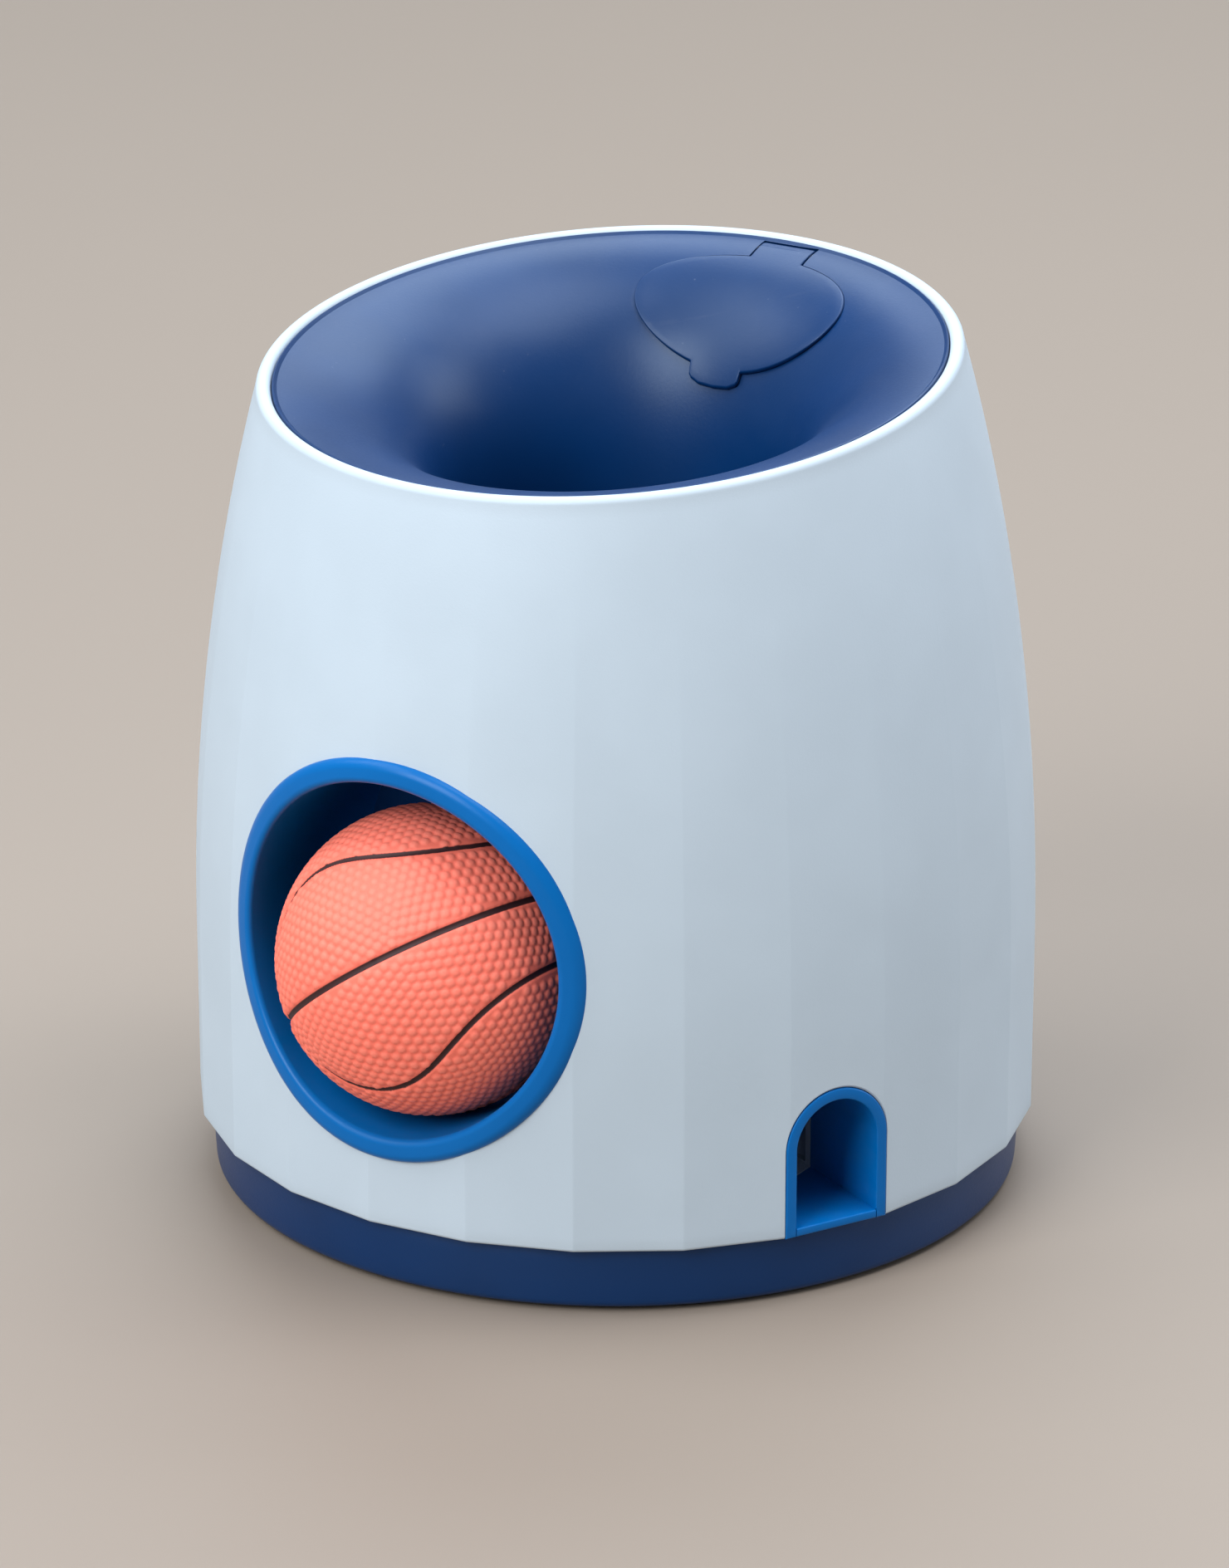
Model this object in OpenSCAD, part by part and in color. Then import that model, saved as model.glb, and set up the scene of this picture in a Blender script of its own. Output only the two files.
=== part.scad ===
// Ball-and-treat puzzle toy for dogs: a faceted barrel with a slanted bowl on top.
// A ball dropped into the bowl presses a paddle, the paddle turns a drum that lets a treat
// slide to the small arch, and the ball rolls out of the round port.
// Origin: middle of the underside, on the floor. Front (ball port) is -Y, up is +Z. Millimetres.
// Angles round the axis are measured from the front towards +X.

/* [Barrel] */
// radius over the facet corners at the lower edge
shell_r = 85; // [82:0.5:95]
// height of the rim plane on the axis
rim_h = 169.4; // [164:0.2:185]
// slope of the rim, low at the front
rim_tilt = 6.8; // [3:0.2:9]
// height of the lower edge of the barrel
seam_h = 14; // [12:0.5:18]
// height up to which the side is upright
upright_h = 50; // [40:1:70]
// radius of the curve that draws the side in
side_curve_r = 455; // [420:5:700]
// height where the facets have faded out
fade_h = 156; // [120:1:158]
// barrel wall, also the width of the rounded rim
wall = 3; // [2.4:0.1:3.6]

/* [Base] */
// how far the base stands in from the barrel edge
base_inset = 2.8; // [2:0.2:3.4]
// thickness of the base floor
floor_t = 3; // [2:0.2:5]
// thickness of the rubber sole
sole_t = 2; // [1.4:0.1:3]

/* [Bowl] */
// radius of the ball throat
throat_r = 34; // [32:0.2:35]
// level where the bowl turns upright
throat_level = 128; // [122:1:134]
// length of the straight throat
throat_len = 14; // [8:0.5:18]
// how late the bowl leaves the rim plane
bowl_start = 1.66; // [1.3:0.02:2]
// how sharply the bowl turns into the throat
bowl_turn = 2.6; // [2:0.1:3.2]
// thickness of the bowl
bowl_t = 2.2; // [1.6:0.1:2.6]

/* [Fill lid] */
// half width of the oval lid
lid_b = 23.8; // [18:0.2:26]
// half length of the oval lid along the slope
lid_a = 13.6; // [10:0.2:15]
// distance of the lid's middle from the bowl's edge
lid_inset = 18.3; // [15:0.1:19]
// how far the lid's middle lies to the right of the barrel's middle
lid_x = 1.7; // [0:0.1:2]
// how far the hinge tongue lies to the right of the barrel's middle
tongue_x = 2.6; // [0:0.1:3]
// slope of the lid
lid_slope = 45; // [40:1:50]
// thickness of the lid
lid_t = 0.9; // [0.8:0.1:2]
// width of the hinge tongue
tongue_w = 12; // [8:0.5:18]

/* [Ball port] */
// height of the middle of the port
port_z = 68.5; // [64:0.5:72]
// outer radius of the port bead
bead_r = 40.3; // [39.5:0.1:43]
// clear radius of the port
port_r = 35.5; // [34:0.1:36]
// height of the bead over the barrel
bead_h = 1.3; // [1:0.1:2.4]

/* [Treat outlet] */
// angle of the outlet from the front
outlet_angle = 62.7; // [60:0.1:70]
// half width of the arch frame
arch_w = 11.4; // [11.2:0.1:14]
// top of the arch frame
arch_top = 43.2; // [38:0.2:48]
// clear half width of the arch
outlet_w = 9.1; // [7:0.1:9.6]
// height of the sill over the lower edge
sill_h = 1.8; // [1.4:0.1:4]
// how far the frame stands out of its facet
frame_lift = 0.1; // [0:0.05:0.6]

/* [Trigger] */
// clearance between the metering drum and the barrel behind it
drum_clear = 0.75; // [0.6:0.05:1.5]
// height of the shaft
shaft_z = 84; // [80:0.5:86]
// radius of the shaft
shaft_r = 2.5; // [1.8:0.1:3]
// length of the paddle from the shaft
paddle_l = 52; // [44:1:58]
// upward tilt of the paddle at rest
paddle_rise = 15; // [8:1:18]
// radius of the metering drum, where the barrel leaves room for it
drum_r = 13; // [11:0.2:13.4]
// how far the trough's back wall lies behind the throat
trough_clear = 0.4; // [0.2:0.1:0.8]
// gap between the ball trough and the treat feed beside it
feed_gap = 2.7; // [2:0.1:3.5]
// clear width of the treat feed
feed_w = 14; // [11:0.5:14.5]

/* [Ball] */
// radius of the ball
ball_r = 30.4; // [28:0.2:31.6]
// how far the ball's middle lies behind the barrel's front edge
ball_in = 18.1; // [14:0.5:24]

/* [Fits] */
// running clearance of the shaft and the hinge pin, on the radius
run_gap = 0.05; // [0.03:0.01:0.08]
// gap between fixed pieces that are fitted together
fit_gap = 0.1; // [0.05:0.05:0.2]
// gap beside pieces that move
move_gap = 0.35; // [0.3:0.05:0.5]

/* [Hidden] */
$fn = 72;
facet_count = 25;
pitch = 360 / facet_count;
cols = facet_count * 3;
col_a = [for (j = [0 : cols - 1]) outlet_angle - pitch / 2 + j * pitch / 3];
lip_r = wall / 2;
seat_d = 3.5;
ledge_w = 2.6;
flat_r = shell_r * cos(pitch / 2);
flat_drop = shell_r - flat_r;
base_top_r = shell_r - base_inset;
base_foot_r = base_top_r - 0.6;
rim_wall = 2;
spigot_r = flat_r - wall - fit_gap;
spigot_h = 3.5;
floor_z = sole_t + floor_t;
post_r = 5;
post_at = spigot_r - post_r - 0.1;
post_angles = [25, 115, 205, 295];
post_top = seam_h + 4;
post_h = 16;
sole_r = post_at - 3.2;
boss_top = floor_z + 9;
boss_r = 4.5;
foot_t = 3;
screw_r = 1.4;
screw_hole_r = screw_r + 0.3;
thread_hole_r = screw_r + 0.02;
head_r = 2.8;
head_h = 2;
head_sunk = 4.2;
post_bite = 8;
foot_bite = 6;
liner_t = 2.5;
liner_r = port_r + liner_t;
liner_back = -throat_r - 2;
bead_lift = 0.25;
ball_y = shell_r - ball_in;
ball_z = port_z - port_r + 0.3 + ball_r;
seam_groove = 0.8;
seam_lift = 38;
seam_turn = [-8, -36, 0];
sill_z = seam_h + sill_h;
spout_t = 1.6;
spout_w = outlet_w + spout_t;
frame_d = wall - 0.4;
arch_clear_top = arch_top - (arch_w - outlet_w);
feed_t = 1.6;
feed_out = feed_w / 2 + feed_t;
chute_t = 2.2;
chute_slope = 3;
chute_out = port_r + chute_t;
feed_x = chute_out + feed_gap + feed_out;
feed_lo = feed_x - feed_out;
feed_hi = feed_x + feed_out;
drum_end_gap = 0.4;
drum_lo = feed_lo + feed_t + drum_end_gap;
drum_hi = feed_hi - feed_t - drum_end_gap;
hub_r = shaft_r + 3.5;
hub_w = 20;
hub_gap = 0.8;
chute_back = throat_r + trough_clear;
shaft_y = chute_back + chute_t + hub_gap + hub_r;
drum_room = side_r(shaft_z) - flat_drop - wall - drum_clear;
drum_fit = min(drum_r, sqrt(pow(drum_room, 2) - pow(drum_hi, 2)) - shaft_y);
chute_front = liner_back + fit_gap;
chute_top = throat_level - throat_len - 4;
chute_feet = [for (x = [-30, 30]) for (y = [-24, 24]) [x, y]];
foot_reach = 4;
lug_in = 28;
lug_out = 34;
bush_r = shaft_r + 1.5;
lug_r = bush_r + 6;
bush_flange_r = bush_r + 1.6;
bush_flange_t = 1;
clip_t = 1;
clip_in = 0.5;
arm_w = 12;
arm_t = 4;
plate_l = 24;
plate_w = 30;
plate_t = 3;
plate_corner = 5;
weight_at = 20;
weight_r = 6;
weight_l = 24;
weight_wall = 2;
weight_cup = weight_l - 6;
pin_r = 0.9;
pin_l = tongue_w + 10;
knuckle_r = 2.2;
knuckle_in = 0.3;
tab_w = 5.7;
neck_d = 5;
drum_gap = 0.6;
hopper_t = 2;
hopper_y = chute_back + chute_t + fit_gap;
hopper_left = -26;
hopper_screw_z = chute_top - 7;
hopper_low = hopper_screw_z;
hopper_high = hopper_low + 16;
hopper_in = wall + flat_drop + 1.2;
hopper_bite = 5;
duct_d = 8;
duct_y = shaft_y + duct_d;
hopper_screw_x = 22;
slide_end = -feed_hi / tan(outlet_angle) - outlet_w / sin(outlet_angle) - 2;
slide_flat = slide_end + 26;
slide_end_z = sill_z + 0.4;
slide_top = shaft_y + 4;
slide_top_z = shaft_z - drum_r - 4;
slide_leg = 26;
slide_feet = [[feed_lo - 3, slide_end + 6], [feed_x, slide_leg + 5]];

// underside of the sloping channel
function slide_z(y) = slide_end_z - feed_t
    + (y - slide_flat) * (slide_top_z - slide_end_z) / (slide_top - slide_flat);
// radius of the barrel as a smooth round, facets left out
function side_r(z) = z <= upright_h ? shell_r
    : shell_r - side_curve_r + sqrt(pow(side_curve_r, 2) - pow(z - upright_h, 2));
// share of the flat facet at a height
function fade(z) = max(0, min(1, (fade_h - z) / (fade_h - seam_h)));
// angle from the middle of the nearest facet
function off_facet(a) = (a - outlet_angle) - pitch * round((a - outlet_angle) / pitch);
// radius of the faceted barrel
function facet_r(a, z) = side_r(z) * (1 - fade(z) * (1 - cos(pitch / 2) / cos(off_facet(a))));
// height of the slanted rim plane
function rim_z(y) = rim_h + tan(rim_tilt) * y;
// radius where the barrel meets the rim plane
function rim_r(a, n = 8) = n == 0 ? side_r(rim_h) : side_r(rim_z(-rim_r(a, n - 1) * cos(a)));
// level of the rim where its rounding begins
function lip_z(a) = rim_z(-rim_r(a) * cos(a)) - lip_r;
// point at an angle, a radius and a height
function at(a, r, z) = [r * sin(a), -r * cos(a), z];
// depth of the barrel's surface in front of the axis, for a place in the front view
function front_y(x, z, n = 5) = n == 0 ? -sqrt(pow(side_r(z), 2) - x * x)
    : -sqrt(pow(facet_r(atan2(x, -front_y(x, z, n - 1)), z), 2) - x * x);

// share of the bowl's fall at a share of its width
function bowl_fall(s) = 1 - pow(1 - pow(s, bowl_start), 1 / bowl_turn);
// outer edge of the bowl
function bowl_edge_r(a) = side_r(lip_z(a)) - wall - 0.15;
function bowl_edge_z(a) = lip_z(a) + 0.5;
// bowl surface at an angle and a share of its width
function bowl_r(a, s) = bowl_edge_r(a) - s * (bowl_edge_r(a) - throat_r);
function bowl_z(a, s) = bowl_edge_z(a) - (bowl_edge_z(a) - throat_level) * bowl_fall(s);
// underside of the bowl at an angle and a share of its width
function under_r(a, s) = bowl_edge_r(a) - 3.4 - s * (bowl_edge_r(a) - 3.4 - throat_r - bowl_t);
function under_z(a, s) = bowl_foot_z(a) - (bowl_foot_z(a) - throat_level + 3) * bowl_fall(s);
function bowl_foot_z(a) = lip_z(a) - seat_d + fit_gap;
// bowl height on the middle line behind the axis
function back_z(y) = bowl_z(180, (bowl_edge_r(180) - y) / (bowl_edge_r(180) - throat_r));

lid_y = bowl_edge_r(180) - lid_inset;
lid_z = back_z(lid_y);
lid_n = [0, -sin(lid_slope), cos(lid_slope)];
pin_y = bowl_edge_r(180) - 3;
pin_z = back_z(pin_y) - 1.2;
tongue_l = (pin_y - lid_y) * cos(lid_slope) + (pin_z - lid_z) * sin(lid_slope);
roof_y = bowl_edge_r(180) - 4;
roof_z = bowl_foot_z(180) - 16;

// closed skin over rings of points that run round in both directions
module loop_solid(rings) {
    n = len(rings);
    m = len(rings[0]);
    pts = [for (ring = rings) for (p = ring) p];
    faces = [for (j = [0 : n - 1]) for (k = [0 : m - 1])
        let (j2 = (j + 1) % n, k2 = (k + 1) % m)
        for (f = [[j * m + k, j * m + k2, j2 * m + k2], [j * m + k, j2 * m + k2, j2 * m + k]]) f];
    polyhedron(points = pts, faces = faces, convexity = 8);
}

// closed slab between two grids of points
module slab_solid(top, low) {
    n = len(top);
    m = len(top[0]);
    q = n * m;
    pts = concat([for (row = top) for (p = row) p], [for (row = low) for (p = row) p]);
    function t(j, k) = j * m + k;
    function b(j, k) = q + j * m + k;
    function two(a1, a2, a3, a4) = [[a1, a2, a3], [a1, a3, a4]];
    over = [for (j = [0 : n - 2]) for (k = [0 : m - 2])
        for (f = two(t(j, k), t(j, k + 1), t(j + 1, k + 1), t(j + 1, k))) f];
    under = [for (j = [0 : n - 2]) for (k = [0 : m - 2])
        for (f = two(b(j, k), b(j + 1, k), b(j + 1, k + 1), b(j, k + 1))) f];
    outer = [for (j = [0 : n - 2]) for (f = two(b(j, 0), t(j, 0), t(j + 1, 0), b(j + 1, 0))) f];
    inner = [for (j = [0 : n - 2])
        for (f = two(b(j + 1, m - 1), t(j + 1, m - 1), t(j, m - 1), b(j, m - 1))) f];
    first = [for (k = [0 : m - 2]) for (f = two(b(0, k + 1), t(0, k + 1), t(0, k), b(0, k))) f];
    last = [for (k = [0 : m - 2])
        for (f = two(b(n - 1, k), t(n - 1, k), t(n - 1, k + 1), b(n - 1, k + 1))) f];
    polyhedron(points = pts, faces = concat(over, under, outer, inner, first, last), convexity = 8);
}

// round of the barrel's side moved in by a distance, facets left out
module side_round(inward, z0, z1) {
    steps = 14;
    rotate_extrude()
        polygon(concat([[0, z0]],
            [for (i = [0 : steps]) let (z = z0 + (z1 - z0) * i / steps) [side_r(z) - inward, z]],
            [[0, z1]]));
}

// arch outline, upright, with a round head
module arch_outline(w, z0, z1) {
    translate([-w, z0])
        square([2 * w, z1 - w - z0]);
    translate([0, z1 - w])
        circle(r = w);
}

// arch drawn along the outlet's direction
module outlet_arch(w, z0, z1, r0, r1) {
    rotate([0, 0, outlet_angle - 90])
        translate([r0, 0, 0])
            rotate([90, 0, 90])
                linear_extrude(r1 - r0)
                    arch_outline(w, z0, z1);
}

// bar along X
module bar_x(r, x0, x1) {
    translate([x0, 0, 0])
        rotate([0, 90, 0])
            cylinder(r = r, h = x1 - x0);
}

// bar along Y at a place in the front view
module bar_y(r, x, z, y0, y1) {
    translate([x, y1, z])
        rotate([90, 0, 0])
            cylinder(r = r, h = y1 - y0);
}

// box between two corners
module box(p0, p1) {
    translate(p0)
        cube(p1 - p0);
}

// one barrel column: outside, rounded rim, seat ledge for the bowl, inside
function shell_column(a) =
    let (zc = lip_z(a), rc = side_r(zc) - lip_r, zl = zc - seat_d, n_out = 12, n_in = 5)
    concat(
        [for (k = [0 : n_out]) let (z = seam_h + (zc - seam_h) * k / n_out) at(a, facet_r(a, z), z)],
        [for (t = [30 : 30 : 180]) at(a, rc + lip_r * cos(t), zc + lip_r * sin(t))],
        [at(a, side_r(zl) - wall, zl),
         at(a, side_r(zl) - wall - ledge_w, zl),
         at(a, side_r(zl) - wall - ledge_w, zl - 1.2),
         at(a, side_r(zl - 4) - wall, zl - 4.4)],
        [for (k = [1 : n_in]) let (z = zl - 4.4 - (zl - 4.4 - seam_h) * k / n_in)
            at(a, facet_r(a, z) - wall, z)]);

// barrel with its rim, the port and outlet openings and the screw bosses
module outer_shell() {
    color([0.80, 0.85, 0.88])
    difference() {
        union() {
            loop_solid([for (a = col_a) shell_column(a)]);
            for (a = post_angles)
                translate(at(a, post_at, post_top))
                    cylinder(r = post_r + 1, h = post_h);
        }
        bar_y(liner_r + fit_gap, 0, port_z, -shell_r - 10, -30);
        outlet_arch(arch_w + fit_gap, 0, arch_top + fit_gap, flat_r - 18, shell_r + 15);
        for (a = post_angles)
            translate(at(a, post_at, post_top - 1))
                cylinder(r = thread_hole_r, h = post_h - 2);
        translate([tongue_x, 0, 0])
            box([-pin_l / 2 - 1, pin_y - 7, pin_z - 8], [pin_l / 2 + 1, bowl_edge_r(180) - 0.6, pin_z + 1]);
    }
}

// round pan under the barrel with its wall, posts and bosses
module base_pan() {
    color([0.06, 0.17, 0.34])
    difference() {
        union() {
            rotate_extrude()
                polygon([[0, sole_t], [sole_r + 0.6, sole_t], [sole_r + 0.6, 0.8],
                    [base_foot_r - 1.4, 0.8], [base_foot_r - 0.4, 1.2], [base_foot_r, 2.2],
                    [base_top_r, seam_h], [spigot_r, seam_h], [spigot_r, seam_h + spigot_h],
                    [spigot_r - rim_wall, seam_h + spigot_h], [spigot_r - rim_wall, floor_z],
                    [0, floor_z]]);
            for (a = post_angles)
                translate(at(a, post_at, sole_t))
                    cylinder(r = post_r, h = post_top - sole_t);
            for (p = concat(slide_feet, chute_feet))
                translate([p[0], p[1], floor_z - 1])
                    cylinder(r = boss_r, h = boss_top - floor_z + 1);
        }
        for (a = post_angles)
            translate(at(a, post_at, 0)) {
                cylinder(r = screw_hole_r, h = post_top + 10);
                cylinder(r = head_r + 0.5, h = head_sunk);
            }
        for (p = concat(slide_feet, chute_feet))
            translate([p[0], p[1], floor_z + 0.6])
                cylinder(r = thread_hole_r, h = boss_top);
        outlet_arch(spout_w + 0.4, seam_h - 0.2, arch_top + 10, flat_r - 24, shell_r + 15);
    }
}

// rubber disc that the toy stands on
module grip_sole() {
    color([0.06, 0.07, 0.10])
    cylinder(r = sole_r, h = sole_t);
}

// screw with a pan head, head down, standing on its head
module pan_screw(l) {
    cylinder(r = head_r, h = head_h);
    cylinder(r = screw_r, h = head_h + l);
}

// four screws that hold the base to the barrel
module base_screws() {
    color([0.72, 0.73, 0.75])
    for (a = post_angles)
        translate(at(a, post_at, head_sunk - head_h))
            pan_screw(post_top + post_bite - head_sunk);
}

// one bowl column: outer edge, surface down to the throat, underside
function bowl_column(a) =
    let (n = 13, m = 10, zb = throat_level - throat_len)
    concat(
        [at(a, bowl_edge_r(a), bowl_foot_z(a))],
        [for (k = [0 : n]) let (s = k == n ? 1 : sin(90 * k / n)) at(a, bowl_r(a, s), bowl_z(a, s))],
        [at(a, throat_r, zb), at(a, throat_r + bowl_t, zb)],
        [for (k = [m : -1 : 0]) let (s = k == m ? 1 : sin(90 * k / m))
            at(a, under_r(a, s), under_z(a, s))]);

// oval in the lid's plane
module lid_oval(b, a) {
    polygon([for (t = [0 : 5 : 355]) [b * cos(t), a * sin(t)]]);
}

// places what follows in the lid's plane
module in_lid_plane() {
    translate([lid_x, lid_y, lid_z])
        rotate([lid_slope, 0, 0])
            children();
}

// outline of the lid's finger tab, its corners rounded
module finger_tab() {
    corners = [[tab_w + 0.4, 2], [tab_w, -1.6], [tab_w - 0.5, -2.2], [tab_w * 0.6, -2.9]];
    polygon(concat([for (p = corners) [-p[0], p[1]]], [[0, -3.1]],
        [for (k = [len(corners) - 1 : -1 : 0]) corners[k]]));
}

// slab that follows the bowl's surface behind the axis, between two distances from it
module bowl_slab(low, high) {
    js = [for (a = col_a) if (a > 140 && a < 220) a];
    ss = [for (k = [0 : 12]) k == 0 ? -0.03 : sin(90 * k / 13)];
    function skin(a, s, d) = at(a, bowl_r(a, s), bowl_z(a, max(0, s))) + d * lid_n;
    slab_solid([for (a = js) [for (s = ss) skin(a, s, high)]],
        [for (a = js) [for (s = ss) skin(a, s, low)]]);
}

// bell-mouthed bowl with the ball throat, the fill opening and the hinge pocket
module bowl() {
    color([0.06, 0.17, 0.34])
    difference() {
        union() {
            loop_solid([for (a = col_a) bowl_column(a)]);
            intersection() {
                in_lid_plane()
                    translate([0, 0, -22])
                        linear_extrude(22)
                            difference() {
                                lid_oval(lid_b - 0.8, lid_a - 0.8);
                                lid_oval(lid_b - 2.6, lid_a - 2.6);
                            }
                bowl_slab(-neck_d, -1);
            }
        }
        in_lid_plane()
            translate([0, 0, -24])
                linear_extrude(40)
                    lid_oval(lid_b - 2.6, lid_a - 2.6);
        translate([tongue_x, pin_y, pin_z]) {
            bar_x(knuckle_r + move_gap, -tongue_w / 2 - move_gap, tongue_w / 2 + move_gap);
            bar_x(pin_r, -pin_l / 2, pin_l / 2);
        }
    }
}

// oval lid with a finger tab at its front and a hinge tongue at its back
module fill_lid() {
    color([0.07, 0.18, 0.36])
    difference() {
        union() {
            intersection() {
                in_lid_plane()
                    translate([0, 0, -20])
                        linear_extrude(40)
                            union() {
                                lid_oval(lid_b, lid_a);
                                translate([-lid_x, -lid_a])
                                    finger_tab();
                                translate([tongue_x - lid_x - tongue_w / 2, 0])
                                    square([tongue_w, tongue_l]);
                            }
                bowl_slab(move_gap, move_gap + lid_t);
            }
            translate([tongue_x, pin_y, pin_z])
                bar_x(knuckle_r, knuckle_in - tongue_w / 2, tongue_w / 2 - knuckle_in);
        }
        translate([tongue_x, pin_y, pin_z])
            bar_x(pin_r + run_gap, -pin_l, pin_l);
    }
}

// steel pin of the lid hinge
module lid_pin() {
    color([0.75, 0.76, 0.78])
    translate([tongue_x, pin_y, pin_z])
        bar_x(pin_r, -pin_l / 2, pin_l / 2);
}

// one section of the port, at an angle round it: bead on the barrel, then the tube behind it
function port_section(t) =
    let (bead = [[liner_r, bead_lift], [bead_r, bead_lift], [bead_r - 0.1, 0.5], [bead_r - 0.7, 1.0],
            [bead_r - 1.7, bead_h], [port_r + 1.4, bead_h], [port_r + 0.4, 0.9], [port_r, 0.3]])
    concat(
        [for (p = bead) let (x = p[0] * cos(t), z = port_z + p[0] * sin(t)) [x, front_y(x, z) - p[1], z]],
        [for (r = [port_r, liner_r]) [r * cos(t), liner_back, port_z + r * sin(t)]]);

// bright bead on the barrel and the tube behind it that the ball rolls out of
module port_liner() {
    color([0.02, 0.42, 0.72])
    loop_solid([for (t = [0 : 5 : 355]) port_section(t)]);
}

// arch frame let into one facet, with its short passage
module treat_spout() {
    color([0.02, 0.42, 0.72])
    difference() {
        union() {
            outlet_arch(arch_w, seam_h + fit_gap, arch_top, flat_r - frame_d, flat_r + frame_lift);
            intersection() {
                outlet_arch(spout_w, seam_h + fit_gap, arch_clear_top + spout_t, 50, flat_r - 0.5);
                box([feed_hi + fit_gap, -shell_r, 0], [shell_r + 10, shell_r, arch_top + 10]);
            }
        }
        outlet_arch(outlet_w, sill_z, arch_clear_top, 40, 100);
    }
}

// section of the trough along its slope, open at the top
module trough_section(r, length) {
    translate([0, chute_front, port_z])
        rotate([90 + chute_slope, 0, 180])
            translate([0, 0, -20])
                linear_extrude(length + 20)
                    union() {
                        circle(r = r);
                        translate([-r, 0])
                            square([2 * r, chute_top]);
                    }
}

// trough behind the port: catches the ball under the throat and leads it to the port
module ball_chute() {
    color([0.04, 0.24, 0.44])
    difference() {
        union() {
            intersection() {
                trough_section(chute_out, 100);
                box([-60, chute_front, 0], [60, chute_back + chute_t, chute_top]);
            }
            for (p = chute_feet)
                box([min(0, p[0]) - foot_reach, p[1] - 5, boss_top],
                    [max(0, p[0]) + foot_reach, p[1] + 5, boss_top + foot_t]);
            for (p = chute_feet)
                box([min(0, p[0] + 5), p[1] - 2, boss_top], [max(0, p[0] - 5), p[1] + 2, port_z - 20]);
            for (s = [-1, 1])
                translate([0, shaft_y, shaft_z]) {
                    bar_x(lug_r, s > 0 ? lug_in : -lug_out, s > 0 ? lug_out : -lug_in);
                    box([s > 0 ? lug_in : -lug_out, chute_back + 1 - shaft_y, -lug_r],
                        [s > 0 ? lug_out : -lug_in, 0, lug_r]);
                }
        }
        difference() {
            trough_section(port_r, 120);
            box([-60, chute_back, -10], [60, shell_r, 2 * chute_top]);
            for (s = [-1, 1])
                bar_y(3.6, s * hopper_screw_x, hopper_screw_z, chute_back - 5, chute_back + 1);
        }
        box([-arm_w / 2 - 3, chute_back - 1, shaft_z - 24], [arm_w / 2 + 3, shaft_y, chute_top + 5]);
        translate([0, shaft_y, shaft_z])
            bar_x(bush_r, -60, 60);
        for (p = chute_feet)
            translate([p[0], p[1], 0])
                cylinder(r = screw_hole_r, h = boss_top + 10);
        for (s = [-1, 1])
            bar_y(thread_hole_r, s * hopper_screw_x, hopper_screw_z, chute_back - 4, chute_back + 10);
    }
}

// screws that hold a piece to the base, heads on its feet
module foot_screws(feet) {
    color([0.72, 0.73, 0.75])
    for (p = feet)
        translate([p[0], p[1], boss_top + foot_t + head_h])
            rotate([180, 0, 0])
                pan_screw(foot_t + foot_bite);
}

// four screws that hold the trough to the base
module chute_screws() {
    foot_screws(chute_feet);
}

// bin for the treats behind the throat, with a feed down to the drum
module treat_hopper() {
    color([0.69, 0.72, 0.75])
    difference() {
        union() {
            intersection() {
                translate([0, shell_r, 0])
                    rotate([90, 0, 0])
                        linear_extrude(shell_r - hopper_y)
                            polygon([[hopper_left, rim_h], [hopper_left, hopper_high],
                                [feed_lo, hopper_low], [feed_hi, hopper_low], [feed_hi, rim_h]]);
                side_round(hopper_in, shaft_z - 20, rim_h);
            }
            intersection() {
                box([feed_lo, hopper_y, shaft_z + drum_fit + drum_gap], [feed_hi, duct_y, hopper_low + 4]);
                side_round(hopper_in, shaft_z - 20, rim_h);
            }
            box([-hopper_screw_x - 5, hopper_y, hopper_screw_z - 5],
                [hopper_screw_x + 5, hopper_y + hopper_t, hopper_high + 2]);
        }
        intersection() {
            translate([0, shell_r, 0])
                rotate([90, 0, 0])
                    linear_extrude(shell_r - hopper_y - hopper_t)
                        polygon([[hopper_left + hopper_t, rim_h + 1],
                            [hopper_left + hopper_t, hopper_high + hopper_t],
                            [feed_lo + feed_t, hopper_low + hopper_t],
                            [feed_hi - feed_t, hopper_low + hopper_t], [feed_hi - feed_t, rim_h + 1]]);
            side_round(hopper_in + hopper_t, shaft_z - 20, rim_h + 2);
        }
        intersection() {
            box([feed_lo + feed_t, hopper_y + feed_t, 0],
                [feed_hi - feed_t, duct_y - feed_t, hopper_low + 10]);
            side_round(hopper_in + hopper_t, shaft_z - 20, rim_h + 2);
        }
        translate([-shell_r, 0, 0])
            rotate([90, 0, 90])
                linear_extrude(2 * shell_r)
                    polygon([[0, throat_level + 4], [hopper_y + hopper_t, throat_level + 4],
                        [roof_y, roof_z], [shell_r, roof_z], [shell_r, 2 * rim_h], [0, 2 * rim_h]]);
        for (s = [-1, 1])
            bar_y(screw_hole_r, s * hopper_screw_x, hopper_screw_z, 0, hopper_y + hopper_t + 1);
    }
}

// two screws that hold the bin to the trough
module hopper_screws() {
    color([0.72, 0.73, 0.75])
    for (s = [-1, 1])
        translate([s * hopper_screw_x, hopper_y + hopper_t + head_h, hopper_screw_z])
            rotate([90, 0, 0])
                pan_screw(hopper_t + hopper_bite);
}

// upright outline in the side view, as wide as the treat channel less a wall on both sides
module channel_slab(side) {
    translate([feed_lo + side, 0, 0])
        rotate([90, 0, 90])
            linear_extrude(feed_hi - feed_lo - 2 * side)
                children();
}

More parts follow.
